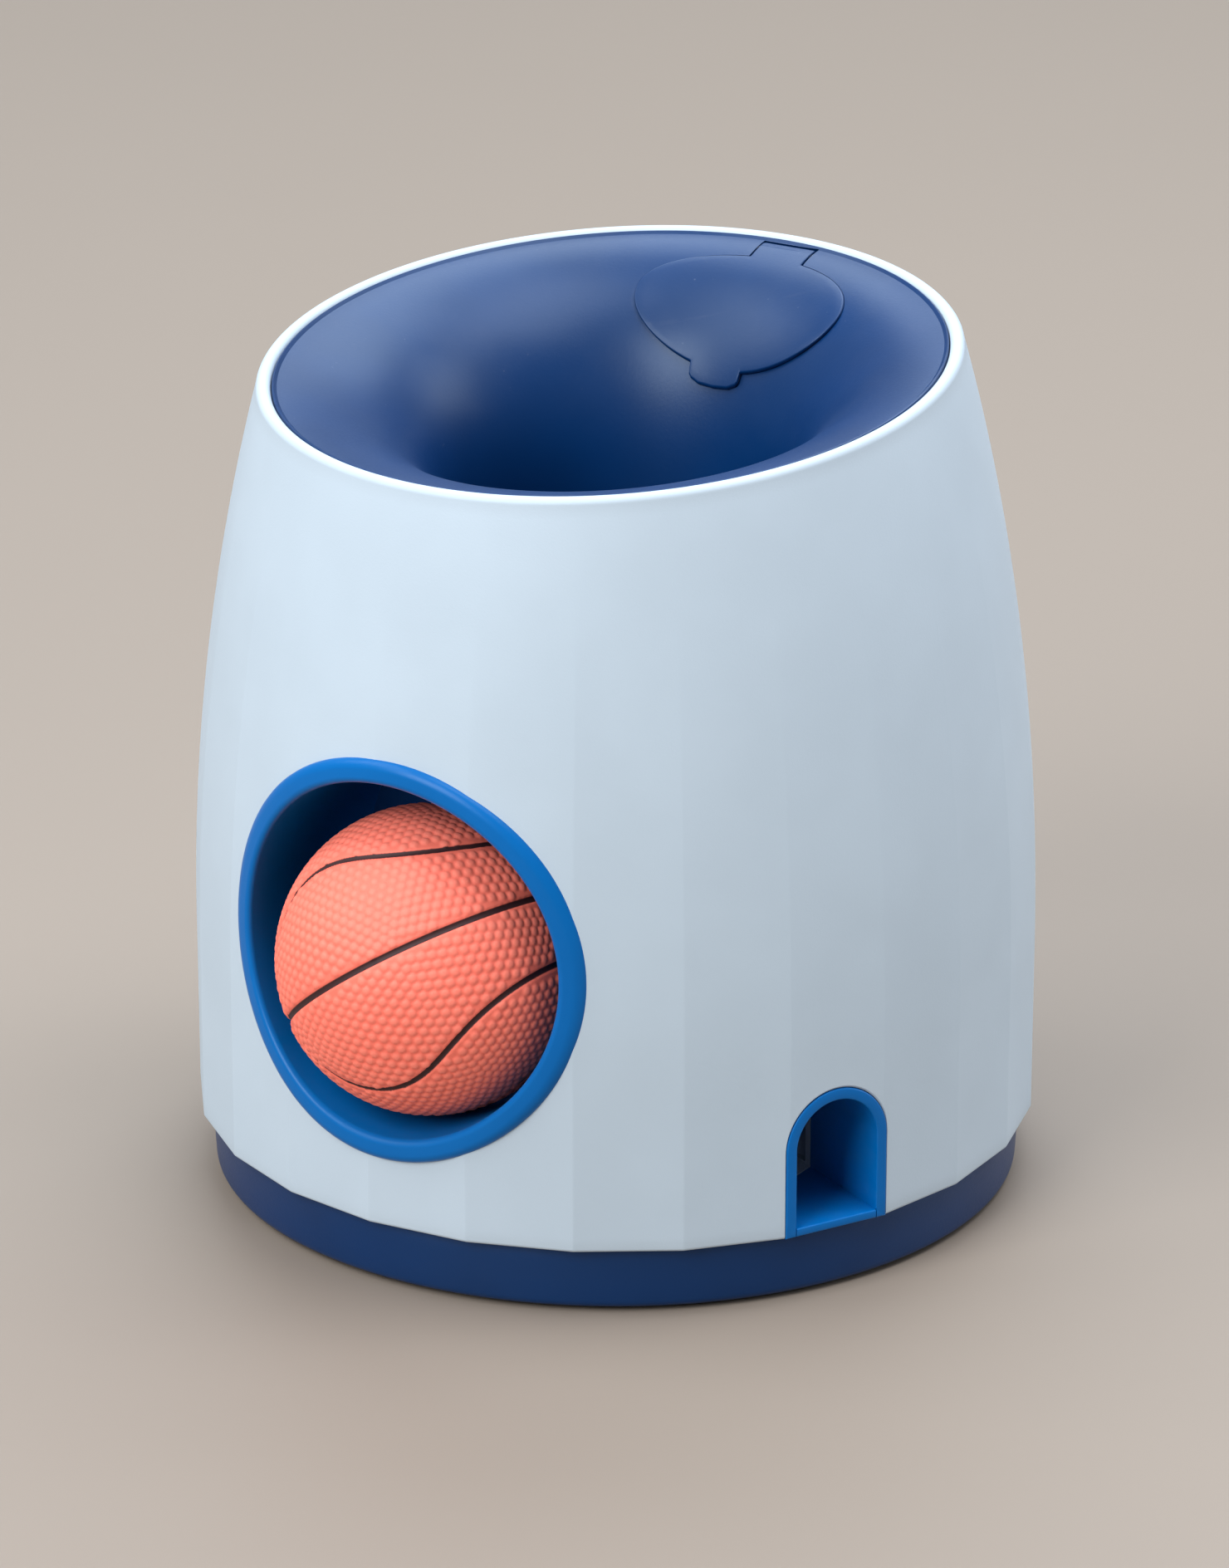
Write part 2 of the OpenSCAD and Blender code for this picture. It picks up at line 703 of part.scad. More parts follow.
// sloping channel from the drum to the outlet, on a leg and two feet
module treat_slide() {
    side_h = 24;
    leg_front = slide_leg - 2;
    leg_rear = slide_leg + 2;
    foot_end = slide_feet[1][1] + 5;
    color([0.69, 0.72, 0.75])
    difference() {
        union() {
            channel_slab(0)
                polygon([[slide_top, slide_top_z + 14], [slide_flat - 4, slide_end_z + side_h],
                    [slide_end, slide_end_z + side_h], [slide_end, slide_end_z - feed_t],
                    [slide_flat, slide_end_z - feed_t], [leg_front, slide_z(leg_front)],
                    [leg_front, boss_top], [foot_end, boss_top], [foot_end, boss_top + foot_t],
                    [leg_rear, boss_top + foot_t], [leg_rear, slide_z(leg_rear)],
                    [slide_top, slide_z(slide_top)]]);
            box([slide_feet[0][0] - 3, slide_feet[0][1] - 5, boss_top],
                [feed_lo + feed_t / 2, slide_feet[0][1] + 5, boss_top + foot_t]);
        }
        channel_slab(feed_t)
            polygon([[slide_top - feed_t, slide_z(slide_top - feed_t) + feed_t + 0.2],
                [slide_flat, slide_end_z], [slide_end + feed_t, slide_end_z],
                [slide_end + feed_t, slide_end_z + 40], [slide_top + 1, slide_top_z + 60],
                [slide_top + 1, slide_top_z + 3], [slide_top - feed_t, slide_top_z + 3]]);
        outlet_arch(outlet_w, slide_end_z - 0.2, arch_clear_top, feed_x + 6, shell_r);
        for (p = slide_feet)
            translate([p[0], p[1], boss_top - 1])
                cylinder(r = screw_hole_r, h = foot_t + 4);
    }
}

// two screws that hold the channel to the base
module slide_screws() {
    foot_screws(slide_feet);
}

// plain bearing in a lug of the trough, flange inwards
module shaft_bush(s) {
    color([0.93, 0.92, 0.88])
    translate([0, shaft_y, shaft_z])
        difference() {
            union() {
                bar_x(bush_r, s > 0 ? lug_in : -lug_out, s > 0 ? lug_out : -lug_in);
                bar_x(bush_flange_r, s > 0 ? lug_in - bush_flange_t : -lug_in,
                    s > 0 ? lug_in : -lug_in + bush_flange_t);
            }
            bar_x(shaft_r + run_gap, -80, 80);
        }
}

module bush_left() {
    shaft_bush(-1);
}

module bush_right() {
    shaft_bush(1);
}

// places what follows on the shaft, turned to the paddle's rest
module on_shaft() {
    translate([0, shaft_y, shaft_z])
        rotate([-paddle_rise, 0, 0])
            children();
}

// steel shaft that the paddle and the drum turn on
module trigger_shaft() {
    color([0.70, 0.71, 0.73])
    translate([0, shaft_y, shaft_z])
        difference() {
            bar_x(shaft_r, -lug_out - 4, feed_hi + 1);
            for (x = [-lug_out - 1 - clip_t, lug_out + 1])
                difference() {
                    bar_x(shaft_r + 1, x, x + clip_t);
                    bar_x(shaft_r - clip_in, x - 1, x + clip_t + 1);
                }
        }
}

// spring clip in a groove of the shaft, open at one side
module shaft_clip(x) {
    color([0.55, 0.56, 0.58])
    translate([0, shaft_y, shaft_z])
        difference() {
            bar_x(shaft_r + 2, x + 0.05, x + clip_t - 0.05);
            bar_x(shaft_r - clip_in, x - 1, x + clip_t + 1);
            box([x - 1, 0.9 - shaft_r, -shaft_r - 3], [x + clip_t + 1, shaft_r - 0.9, 0]);
        }
}

module clip_left() {
    shaft_clip(-lug_out - 1 - clip_t);
}

module clip_right() {
    shaft_clip(lug_out + 1);
}

// lever that the ball presses down, with the socket of the counterweight behind the shaft
module trigger_paddle() {
    color([0.07, 0.19, 0.35])
    on_shaft()
        difference() {
            union() {
                bar_x(hub_r, -hub_w / 2, hub_w / 2);
                box([-arm_w / 2, plate_l / 3 - paddle_l, -arm_t / 2], [arm_w / 2, 0, arm_t / 2]);
                box([1 - arm_w / 2, 0, -arm_t / 2 - 0.5], [arm_w / 2 - 1, weight_at, arm_t / 2 + 0.5]);
                translate([0, weight_at, 0])
                    bar_x(weight_r + weight_wall, -weight_cup / 2, weight_cup / 2);
                translate([0, 0, -plate_t / 2])
                    linear_extrude(plate_t)
                        union() {
                            translate([-plate_w / 2, -paddle_l + plate_corner])
                                square([plate_w, plate_l - 2 * plate_corner]);
                            translate([-plate_w / 2 + plate_corner, -paddle_l])
                                square([plate_w - 2 * plate_corner, plate_l]);
                            for (sx = [-1, 1])
                                for (y = [-paddle_l + plate_corner, -paddle_l + plate_l - plate_corner])
                                    translate([sx * (plate_w / 2 - plate_corner), y])
                                        circle(r = plate_corner);
                        }
            }
            bar_x(shaft_r, -60, 60);
            translate([0, weight_at, 0])
                bar_x(weight_r, -60, 60);
        }
}

// steel slug that lifts the paddle again
module counterweight() {
    color([0.60, 0.61, 0.63])
    on_shaft()
        translate([0, weight_at, 0])
            bar_x(weight_r, -weight_l / 2, weight_l / 2);
}

// drum with a flat pocket that takes one helping of treats
module metering_drum() {
    color([0.96, 0.62, 0.16])
    translate([0, shaft_y, shaft_z])
        difference() {
            bar_x(drum_fit, drum_lo, drum_hi);
            bar_x(shaft_r, 0, shell_r);
            box([feed_x - feed_w, -drum_fit, drum_fit / 2], [feed_x + feed_w, drum_fit, drum_fit + 1]);
        }
}

// rubber ball with its seam grooves: three rings round one axis and one ring across them
module ball() {
    color([0.93, 0.42, 0.30])
    translate([0, -ball_y, ball_z])
        rotate(seam_turn)
            difference() {
                rotate_extrude()
                    difference() {
                        intersection() {
                            circle(r = ball_r);
                            translate([0, -ball_r])
                                square([ball_r, 2 * ball_r]);
                        }
                        for (lift = [-seam_lift, 0, seam_lift])
                            translate([ball_r * cos(lift), ball_r * sin(lift)])
                                circle(r = seam_groove, $fn = 24);
                    }
                rotate([90, 0, 0])
                    rotate_extrude()
                        translate([ball_r, 0])
                            circle(r = seam_groove, $fn = 24);
            }
}

outer_shell();
base_pan();
grip_sole();
base_screws();
bowl();
fill_lid();
lid_pin();
port_liner();
treat_spout();
ball_chute();
chute_screws();
treat_hopper();
hopper_screws();
treat_slide();
slide_screws();
bush_left();
bush_right();
trigger_shaft();
clip_left();
clip_right();
trigger_paddle();
counterweight();
metering_drum();
ball();
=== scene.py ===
"""Looks of a ball puzzle toy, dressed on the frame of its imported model.

Lengths are written in millimetres and turned into metres when a mesh is made.
The barrel stands on the floor with its axis on Z and its ball port towards -Y.
"""

import logging
import math
from collections.abc import Sequence
from dataclasses import dataclass, field
from enum import Enum

import bmesh
import bpy
import numpy as np
from mathutils import Matrix, Vector
from mathutils.kdtree import KDTree


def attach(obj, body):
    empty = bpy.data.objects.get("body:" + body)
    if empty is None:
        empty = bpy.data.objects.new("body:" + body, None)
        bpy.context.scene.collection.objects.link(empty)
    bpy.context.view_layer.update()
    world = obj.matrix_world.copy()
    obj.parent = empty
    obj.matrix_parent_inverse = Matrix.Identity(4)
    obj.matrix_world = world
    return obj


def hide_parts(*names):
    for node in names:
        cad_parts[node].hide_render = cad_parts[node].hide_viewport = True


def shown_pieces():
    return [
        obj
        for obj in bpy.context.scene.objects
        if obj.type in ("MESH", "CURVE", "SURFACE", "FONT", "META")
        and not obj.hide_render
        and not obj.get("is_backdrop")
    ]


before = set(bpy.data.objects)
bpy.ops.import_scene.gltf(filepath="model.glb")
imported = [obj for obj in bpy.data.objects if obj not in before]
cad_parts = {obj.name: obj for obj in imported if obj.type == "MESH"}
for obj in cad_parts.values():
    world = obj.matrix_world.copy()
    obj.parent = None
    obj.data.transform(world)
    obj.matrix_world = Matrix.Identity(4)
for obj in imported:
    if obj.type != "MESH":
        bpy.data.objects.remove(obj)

MM = 0.001
# Half the width of the ball's seams in millimetres.
SEAM_HALF = 0.62
VALUE_SOCKET = "NodeSocketFloat"
LOG = logging.getLogger("scene")
Array = np.ndarray
Faces = list[tuple[int, ...]]
Colour = tuple[float, float, float]
Point = tuple[float, float, float]
Line = list[tuple[float, float]]


class Cut(Enum):
    """Kinds of boolean step between two meshes."""

    AWAY = "DIFFERENCE"
    JOIN = "UNION"


class Body(Enum):
    """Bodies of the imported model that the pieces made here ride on."""

    HOUSING = "housing"
    LID = "lid"
    BALL = "loose_ball"


def srgb(red: int, green: int, blue: int) -> Colour:
    """Turns a display colour of 0 to 255 into linear light.

    Args:
        red: Red part.
        green: Green part.
        blue: Blue part.

    Returns:
        The three linear parts.
    """
    def line(value: int) -> float:
        """Returns one part in linear light."""
        share = value / 255.0
        return share / 12.92 if share <= 0.04045 else ((share + 0.055) / 1.055) ** 2.4

    return line(red), line(green), line(blue)


def full_turn(steps: int) -> Array:
    """Returns evenly spread angles of a full turn in radians."""
    return np.linspace(0.0, 2.0 * math.pi, steps, endpoint=False)


def outward(turn: float, height: float) -> Vector:
    """Gives a direction away from the toy.

    Args:
        turn: Angle round the toy in degrees, from the front towards +X.
        height: Angle above the floor in degrees.

    Returns:
        The direction, one long.
    """
    t, e = math.radians(turn), math.radians(height)
    return Vector((math.sin(t) * math.cos(e), -math.cos(t) * math.cos(e), math.sin(e)))


def grid_faces(rows: int, cols: int, wrap_rows: bool, wrap_cols: bool) -> Faces:
    """Lays quads over a grid of points stored row by row.

    Args:
        rows: Number of rows.
        cols: Number of points in a row.
        wrap_rows: Whether the last row joins the first.
        wrap_cols: Whether the last point of a row joins its first.

    Returns:
        The corner numbers of each quad.
    """
    down = np.arange(rows if wrap_rows else rows - 1)
    over = np.arange(cols if wrap_cols else cols - 1)
    j, k = (part.ravel() for part in np.meshgrid(down, over, indexing="ij"))
    j2, k2 = (j + 1) % rows, (k + 1) % cols
    quads = np.stack([j * cols + k, j * cols + k2, j2 * cols + k2, j2 * cols + k], axis=1)
    return [tuple(quad) for quad in quads.tolist()]


def capped_faces(rings: int, steps: int) -> Faces:
    """Lays faces over rings whose first and last are fanned in to a pole each.

    Args:
        rings: Number of rings.
        steps: Number of points in a ring.

    Returns:
        The corner numbers of each face, with the two poles after the points of the rings.
    """
    faces = grid_faces(rings, steps, False, True)
    pole, end = rings * steps, (rings - 1) * steps
    for k in range(steps):
        k2 = (k + 1) % steps
        faces.append((pole, k2, k))
        faces.append((pole + 1, end + k, end + k2))
    return faces


def add_object(name: str, data: bpy.types.ID) -> bpy.types.Object:
    """Links a new object to the scene.

    Args:
        name: Name of the object.
        data: Its mesh, light or camera.

    Returns:
        The new object.
    """
    thing = bpy.data.objects.new(name, data)
    bpy.context.collection.objects.link(thing)
    return thing


def make_piece(name: str, points: Array, faces: Faces) -> bpy.types.Object:
    """Makes a smooth-shaded closed mesh whose faces look outwards.

    Args:
        name: Name of the piece.
        points: Points in millimetres, one row each.
        faces: Corner numbers of each face.

    Returns:
        The new object, linked to the scene.
    """
    mesh = bpy.data.meshes.new(name)
    mesh.from_pydata((np.asarray(points) * MM).tolist(), [], faces)
    form = bmesh.new()
    form.from_mesh(mesh)
    bmesh.ops.recalc_face_normals(form, faces=form.faces)
    form.to_mesh(mesh)
    form.free()
    mesh.shade_smooth()
    return add_object(name, mesh)


def span(name: str, first: Array, second: Array) -> bpy.types.Object:
    """Makes a closed cutting tool between two outlines.

    Args:
        name: Name of the tool.
        first: Points of the outline at one end.
        second: As many points of the outline at the other end.

    Returns:
        The new object.
    """
    count = len(first)
    ends = [tuple(range(count)), tuple(range(count, 2 * count))]
    return make_piece(name, np.concatenate([first, second]), grid_faces(2, count, False, True) + ends)


def lathe(profile: Line, steps: int) -> tuple[Array, Faces]:
    """Turns an open profile that starts and ends on the axis round Z.

    Args:
        profile: Radius and height of each point, the first and the last at radius 0.
        steps: Number of points round the axis.

    Returns:
        Points and faces of the closed round.
    """
    turn = full_turn(steps)
    inner = np.asarray(profile[1:-1])
    rings = np.stack([np.outer(inner[:, 0], np.cos(turn)), np.outer(inner[:, 0], np.sin(turn)),
                      np.repeat(inner[:, 1:2], steps, axis=1)], axis=2)
    poles = [[0, 0, profile[0][1]], [0, 0, profile[-1][1]]]
    return np.concatenate([rings.reshape(-1, 3), poles]), capped_faces(len(inner), steps)


def settle(piece: bpy.types.Object, sharp: float = 32.0) -> None:
    """Applies the modifiers of a piece and marks its sharp edges.

    Args:
        piece: The piece to settle.
        sharp: Angle in degrees from which an edge is sharp.
    """
    graph = bpy.context.evaluated_depsgraph_get()
    mesh = bpy.data.meshes.new_from_object(piece.evaluated_get(graph))
    piece.modifiers.clear()
    old = piece.data
    piece.data = mesh
    bpy.data.meshes.remove(old)
    mesh.name = piece.name
    mesh.shade_smooth()
    mesh.set_sharp_from_angle(angle=math.radians(sharp))


def cut(piece: bpy.types.Object, tool: bpy.types.Object, kind: Cut = Cut.AWAY) -> None:
    """Cuts a piece with a tool mesh, or joins the two, and removes the tool.

    Args:
        piece: The piece that changes.
        tool: The mesh that is used up.
        kind: What is done with the tool.
    """
    step = piece.modifiers.new("cut", "BOOLEAN")
    step.operation = kind.value
    step.solver = "EXACT"
    step.object = tool
    settle(piece)
    mesh = tool.data
    bpy.data.objects.remove(tool)
    bpy.data.meshes.remove(mesh)


def bar(name: str, radius: float, start: Point, end: Point, steps: int) -> bpy.types.Object:
    """Makes a round bar between two points, as a cutting tool.

    Args:
        name: Name of the tool.
        radius: Radius of the bar.
        start: One end.
        end: The other end.
        steps: Number of points round it.

    Returns:
        The new object.
    """
    low, high = Vector(start), Vector(end)
    length = (high - low).length
    points, faces = lathe([(0, 0), (radius, 0), (radius, length), (0, length)], steps)
    turn = np.asarray((high - low).to_track_quat("Z", "Y").to_matrix())
    return make_piece(name, points @ turn.T + np.asarray(low), faces)


def show(piece: bpy.types.Object, body: Body, slot: str, material: bpy.types.Material,
         *nodes: str) -> None:
    """Gives a finished piece its material, its body and the nodes it stands for.

    Args:
        piece: The finished piece.
        body: The body it rides on.
        slot: Material slot of the record; not used.
        material: Its material.
        nodes: Names of the nodes that it replaces.
    """
    piece.data.materials.clear()
    piece.data.materials.append(material)
    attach(piece, body.value)
    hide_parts(*nodes)


class NodeTree:
    """Short way to write the nodes of a material or a group."""

    def __init__(self, tree: bpy.types.NodeTree) -> None:
        """Keeps the tree that the nodes go into."""
        self.tree = tree

    def add(self, kind: str, **values: object) -> bpy.types.Node:
        """Adds a node and sets its options.

        Args:
            kind: Type name of the node.
            values: Options of the node by name.

        Returns:
            The new node.
        """
        node = self.tree.nodes.new(kind)
        for key, value in values.items():
            setattr(node, key, value)
        return node

    def join(self, source: bpy.types.NodeSocket, target: bpy.types.NodeSocket) -> None:
        """Links an output to an input."""
        self.tree.links.new(source, target)

    def feed(self, target: bpy.types.NodeSocket, value: object) -> None:
        """Links an input to an output, or gives it a plain value.

        Args:
            target: The input.
            value: An output, or the plain value.
        """
        if isinstance(value, bpy.types.NodeSocket):
            self.join(value, target)
        else:
            target.default_value = value

    def math(self, kind: str, *values: object, clamp: bool = False) -> bpy.types.NodeSocket:
        """Adds a sum of values, each a number or an output.

        Args:
            kind: Operation of the Math node.
            values: Its values in order.
            clamp: Whether the result is kept from 0 to 1.

        Returns:
            The output of the node.
        """
        node = self.add("ShaderNodeMath", operation=kind, use_clamp=clamp)
        for target, value in zip(node.inputs, values):
            self.feed(target, value)
        return node.outputs[0]

    def ramp(self, value: bpy.types.NodeSocket, low: float, high: float) -> bpy.types.NodeSocket:
        """Maps a value from low and high to 0 and 1, with both ends eased.

        Args:
            value: The output to map.
            low: Value that becomes 0.
            high: Value that becomes 1.

        Returns:
            The mapped output.
        """
        node = self.add("ShaderNodeMapRange", interpolation_type="SMOOTHSTEP")
        self.join(value, node.inputs["Value"])
        node.inputs["From Min"].default_value = low
        node.inputs["From Max"].default_value = high
        return node.outputs["Result"]

    def blend(self, share: bpy.types.NodeSocket, first: object, second: object) -> bpy.types.NodeSocket:
        """Mixes two colours, each a colour or an output.

        Args:
            share: Share of the second colour.
            first: First colour.
            second: Second colour.

        Returns:
            The mixed colour.
        """
        node = self.add("ShaderNodeMix", data_type="RGBA")
        self.join(share, node.inputs[0])
        for target, value in ((node.inputs[6], first), (node.inputs[7], second)):
            self.feed(target, (*value, 1.0) if isinstance(value, tuple) else value)
        return node.outputs[2]

    def noise(self, scale: object, detail: float, roughness: float = 0.5) -> bpy.types.NodeSocket:
        """Adds noise over the piece's own coordinates.

        Args:
            scale: Cells in a metre, a number or an output.
            detail: Finer layers.
            roughness: Weight of the finer layers.

        Returns:
            The value of the noise.
        """
        place = self.add("ShaderNodeTexCoord")
        node = self.add("ShaderNodeTexNoise")
        self.join(place.outputs["Object"], node.inputs["Vector"])
        for key, value in (("Scale", scale), ("Detail", detail), ("Roughness", roughness)):
            self.feed(node.inputs[key], value)
        return node.outputs["Fac"]


class Effects:
    """Node groups that more than one material uses.

    Attributes:
        TONE_CELLS: Cells in a metre of the slow change of tone.
        SPECK_CELLS: Cells in a metre of the dust's specks.
        PATCH_CELLS: Cells in a metre of the patches that hold specks.
        FILM_CELLS: Cells in a metre of the dust's film.
        FILM: Strength of the film.
        RUB_CELLS: Cells in a metre of the rubbed patches.
    """

    TONE_CELLS = 38.0
    SPECK_CELLS = 420.0
    PATCH_CELLS = 150.0
    FILM_CELLS = 55.0
    FILM = 0.12
    RUB_CELLS = 260.0

    def __init__(self) -> None:
        """Makes the groups."""
        self.grain = self._grain()
        self.dust = self._dust()
        self.wear = self._wear()

    @staticmethod
    def _group(name: str, given: str, value: float,
               outputs: Sequence[str]) -> tuple[NodeTree, bpy.types.Node, bpy.types.Node]:
        """Makes an empty group with one input.

        Args:
            name: Name of the group.
            given: Name of its input.
            value: First value of its input.
            outputs: Names of its outputs.

        Returns:
            The writer for its nodes and the nodes of its input and its outputs.
        """
        group = bpy.data.node_groups.new(name, "ShaderNodeTree")
        socket = group.interface.new_socket(given, in_out="INPUT", socket_type=VALUE_SOCKET)
        socket.default_value = value
        for key in outputs:
            group.interface.new_socket(key, in_out="OUTPUT", socket_type=VALUE_SOCKET)
        tree = NodeTree(group)
        return tree, tree.add("NodeGroupInput"), tree.add("NodeGroupOutput")

    def _grain(self) -> bpy.types.NodeTree:
        """Makes the fine spark-eroded grain of a mould and its slow change of tone.

        Returns:
            The group.
        """
        tree, start, end = self._group("mould_grain", "Scale", 1800.0, ("Height", "Tone"))
        tree.join(tree.noise(start.outputs["Scale"], 3.0, 0.65), end.inputs["Height"])
        tree.join(tree.ramp(tree.noise(self.TONE_CELLS, 2.0), 0.3, 0.7), end.inputs["Tone"])
        return tree.tree

    def _dust(self) -> bpy.types.NodeTree:
        """Makes the mask of settled dust, thicker on faces that look up.

        Returns:
            The group.
        """
        tree, start, end = self._group("settled_dust", "Amount", 0.3, ("Mask",))
        look = tree.add("ShaderNodeNewGeometry")
        split = tree.add("ShaderNodeSeparateXYZ")
        tree.join(look.outputs["Normal"], split.inputs[0])
        upward = tree.ramp(split.outputs["Z"], -0.1, 0.8)
        place = tree.add("ShaderNodeTexCoord")
        cells = tree.add("ShaderNodeTexVoronoi", feature="F1")
        tree.join(place.outputs["Object"], cells.inputs["Vector"])
        cells.inputs["Scale"].default_value = self.SPECK_CELLS
        specks = tree.ramp(cells.outputs["Distance"], 0.11, 0.05)
        sparse = tree.ramp(tree.noise(self.PATCH_CELLS, 1.0), 0.55, 0.66)
        film = tree.ramp(tree.noise(self.FILM_CELLS, 4.0, 0.6), 0.45, 0.8)
        both = tree.math("MAXIMUM", tree.math("MULTIPLY", specks, sparse),
                         tree.math("MULTIPLY", film, self.FILM))
        mask = tree.math("MULTIPLY", tree.math("MULTIPLY", both, upward), start.outputs["Amount"], clamp=True)
        tree.join(mask, end.inputs["Mask"])
        return tree.tree

    def _wear(self) -> bpy.types.NodeTree:
        """Makes the mask of rubbed edges, broken up by noise.

        Returns:
            The group.
        """
        tree, start, end = self._group("edge_rub", "Amount", 0.3, ("Mask",))
        look = tree.add("ShaderNodeNewGeometry")
        edge = tree.ramp(look.outputs["Pointiness"], 0.505, 0.56)
        patch = tree.ramp(tree.noise(self.RUB_CELLS, 3.0, 0.6), 0.35, 0.7)
        mask = tree.math("MULTIPLY", tree.math("MULTIPLY", edge, patch), start.outputs["Amount"], clamp=True)
        tree.join(mask, end.inputs["Mask"])
        return tree.tree


def group_node(tree: NodeTree, group: bpy.types.NodeTree, **values: float) -> bpy.types.Node:
    """Adds a group to a material.

    Args:
        tree: Writer of the material's nodes.
        group: The group.
        values: Values of its inputs.

    Returns:
        The group's node.
    """
    node = tree.add("ShaderNodeGroup", node_tree=group)
    for key, value in values.items():
        node.inputs[key].default_value = value
    return node


def new_material(name: str) -> tuple[bpy.types.Material, NodeTree, bpy.types.Node]:
    """Makes a material with its shader.

    Args:
        name: Name of the material.

    Returns:
        The material, the writer for its nodes and the shader node.
    """
    material = bpy.data.materials.new(name)
    material.use_nodes = True
    return material, NodeTree(material.node_tree), material.node_tree.nodes["Principled BSDF"]


def grain_rough(tree: NodeTree, grain: bpy.types.Node, middle: float,
                spread: float) -> bpy.types.NodeSocket:
    """Adds a roughness that follows the grain.

    Args:
        tree: Writer of the material's nodes.
        grain: Node of the grain.
        middle: Middle of the roughness.
        spread: Its change over the grain.

    Returns:
        The roughness.
    """
    return tree.math("MULTIPLY_ADD", grain.outputs["Height"], spread, middle - spread / 2.0)


def grain_bump(tree: NodeTree, grain: bpy.types.Node, shader: bpy.types.Node, depth: float) -> None:
    """Presses the grain into a surface.

    Args:
        tree: Writer of the material's nodes.
        grain: Node of the grain.
        shader: Shader of the surface.
        depth: Depth of the grain in millimetres.
    """
    bump = tree.add("ShaderNodeBump")
    bump.inputs["Distance"].default_value = depth * MM
    tree.join(grain.outputs["Height"], bump.inputs["Height"])
    tree.join(bump.outputs["Normal"], shader.inputs["Normal"])


@dataclass(frozen=True)
class Plastic:
    """Moulded plastic.

    Attributes:
        name: Name of the material.
        colour: Linear colour.
        roughness: Roughness of the surface.
        spread: Change of roughness over the grain.
        grain: Cells of the grain in a metre.
        depth: Depth of the grain in millimetres.
        tone: Strength of the slow change of tone.
        dust: Amount of dust.
        rub: Amount of rubbed edges.
        specular: Level of the gloss.
        rub_keep: Share of the colour that a rubbed edge keeps.
        rub_pale: Pale tone that it gains.
        dust_colour: Linear colour of the dust.
        dust_rough: Roughness that full dust adds.
        sheen: Tint of the gloss.
    """

    name: str
    colour: Colour
    roughness: float
    spread: float
    grain: float
    depth: float
    tone: float
    dust: float
    rub: float
    specular: float
    rub_keep: float = 0.8
    rub_pale: float = 0.12
    dust_colour: Colour = (0.30, 0.34, 0.40)
    dust_rough: float = 0.4
    sheen: Colour = (0.72, 0.86, 1.0)

    def material(self, effects: Effects) -> bpy.types.Material:
        """Makes the material.

        Args:
            effects: The shared node groups.

        Returns:
            The new material.
        """
        material, tree, shader = new_material(self.name)
        grain = group_node(tree, effects.grain, Scale=self.grain)
        dust = group_node(tree, effects.dust, Amount=self.dust)
        rub = group_node(tree, effects.wear, Amount=self.rub)
        darker = tuple(part * (1.0 - self.tone) for part in self.colour)
        lighter = tuple(min(1.0, part * (1.0 + self.tone)) for part in self.colour)
        pale = tuple(self.rub_keep * part + self.rub_pale for part in self.colour)
        base = tree.blend(grain.outputs["Tone"], darker, lighter)
        base = tree.blend(rub.outputs["Mask"], base, pale)
        base = tree.blend(dust.outputs["Mask"], base, self.dust_colour)
        tree.join(base, shader.inputs["Base Color"])
        rough = grain_rough(tree, grain, self.roughness, self.spread)
        settled = tree.math("MULTIPLY", dust.outputs["Mask"], self.dust_rough)
        tree.join(tree.math("ADD", rough, settled, clamp=True), shader.inputs["Roughness"])
        grain_bump(tree, grain, shader, self.depth)
        shader.inputs["Specular IOR Level"].default_value = self.specular
        shader.inputs["Specular Tint"].default_value = (*self.sheen, 1.0)
        return material


@dataclass(frozen=True)
class Steel:
    """Plain steel of pins, clips and screws.

    Attributes:
        name: Name of the material.
        colour: Linear colour.
        roughness: Roughness of the surface.
        spread: Change of roughness over the grain.
        grain: Cells of the grain in a metre.
        depth: Depth of the grain in millimetres.
        dull: Share of the colour where the steel is dull.
        dust: Amount of dust.
        dust_colour: Linear colour of the dust.
    """

    name: str
    colour: Colour
    roughness: float
    spread: float = 0.2
    grain: float = 2600.0
    depth: float = 0.01
    dull: float = 0.8
    dust: float = 0.3
    dust_colour: Colour = (0.3, 0.29, 0.28)

    def material(self, effects: Effects) -> bpy.types.Material:
        """Makes the material.

        Args:
            effects: The shared node groups.

        Returns:
            The new material.
        """
        material, tree, shader = new_material(self.name)
        grain = group_node(tree, effects.grain, Scale=self.grain)
        dust = group_node(tree, effects.dust, Amount=self.dust)
        dull = tuple(part * self.dull for part in self.colour)
        base = tree.blend(grain.outputs["Tone"], dull, self.colour)
        base = tree.blend(dust.outputs["Mask"], base, self.dust_colour)
        tree.join(base, shader.inputs["Base Color"])
        rough = grain_rough(tree, grain, self.roughness, self.spread)
        tree.join(rough, shader.inputs["Roughness"])
        grain_bump(tree, grain, shader, self.depth)
        shader.inputs["Metallic"].default_value = 1.0
        return material


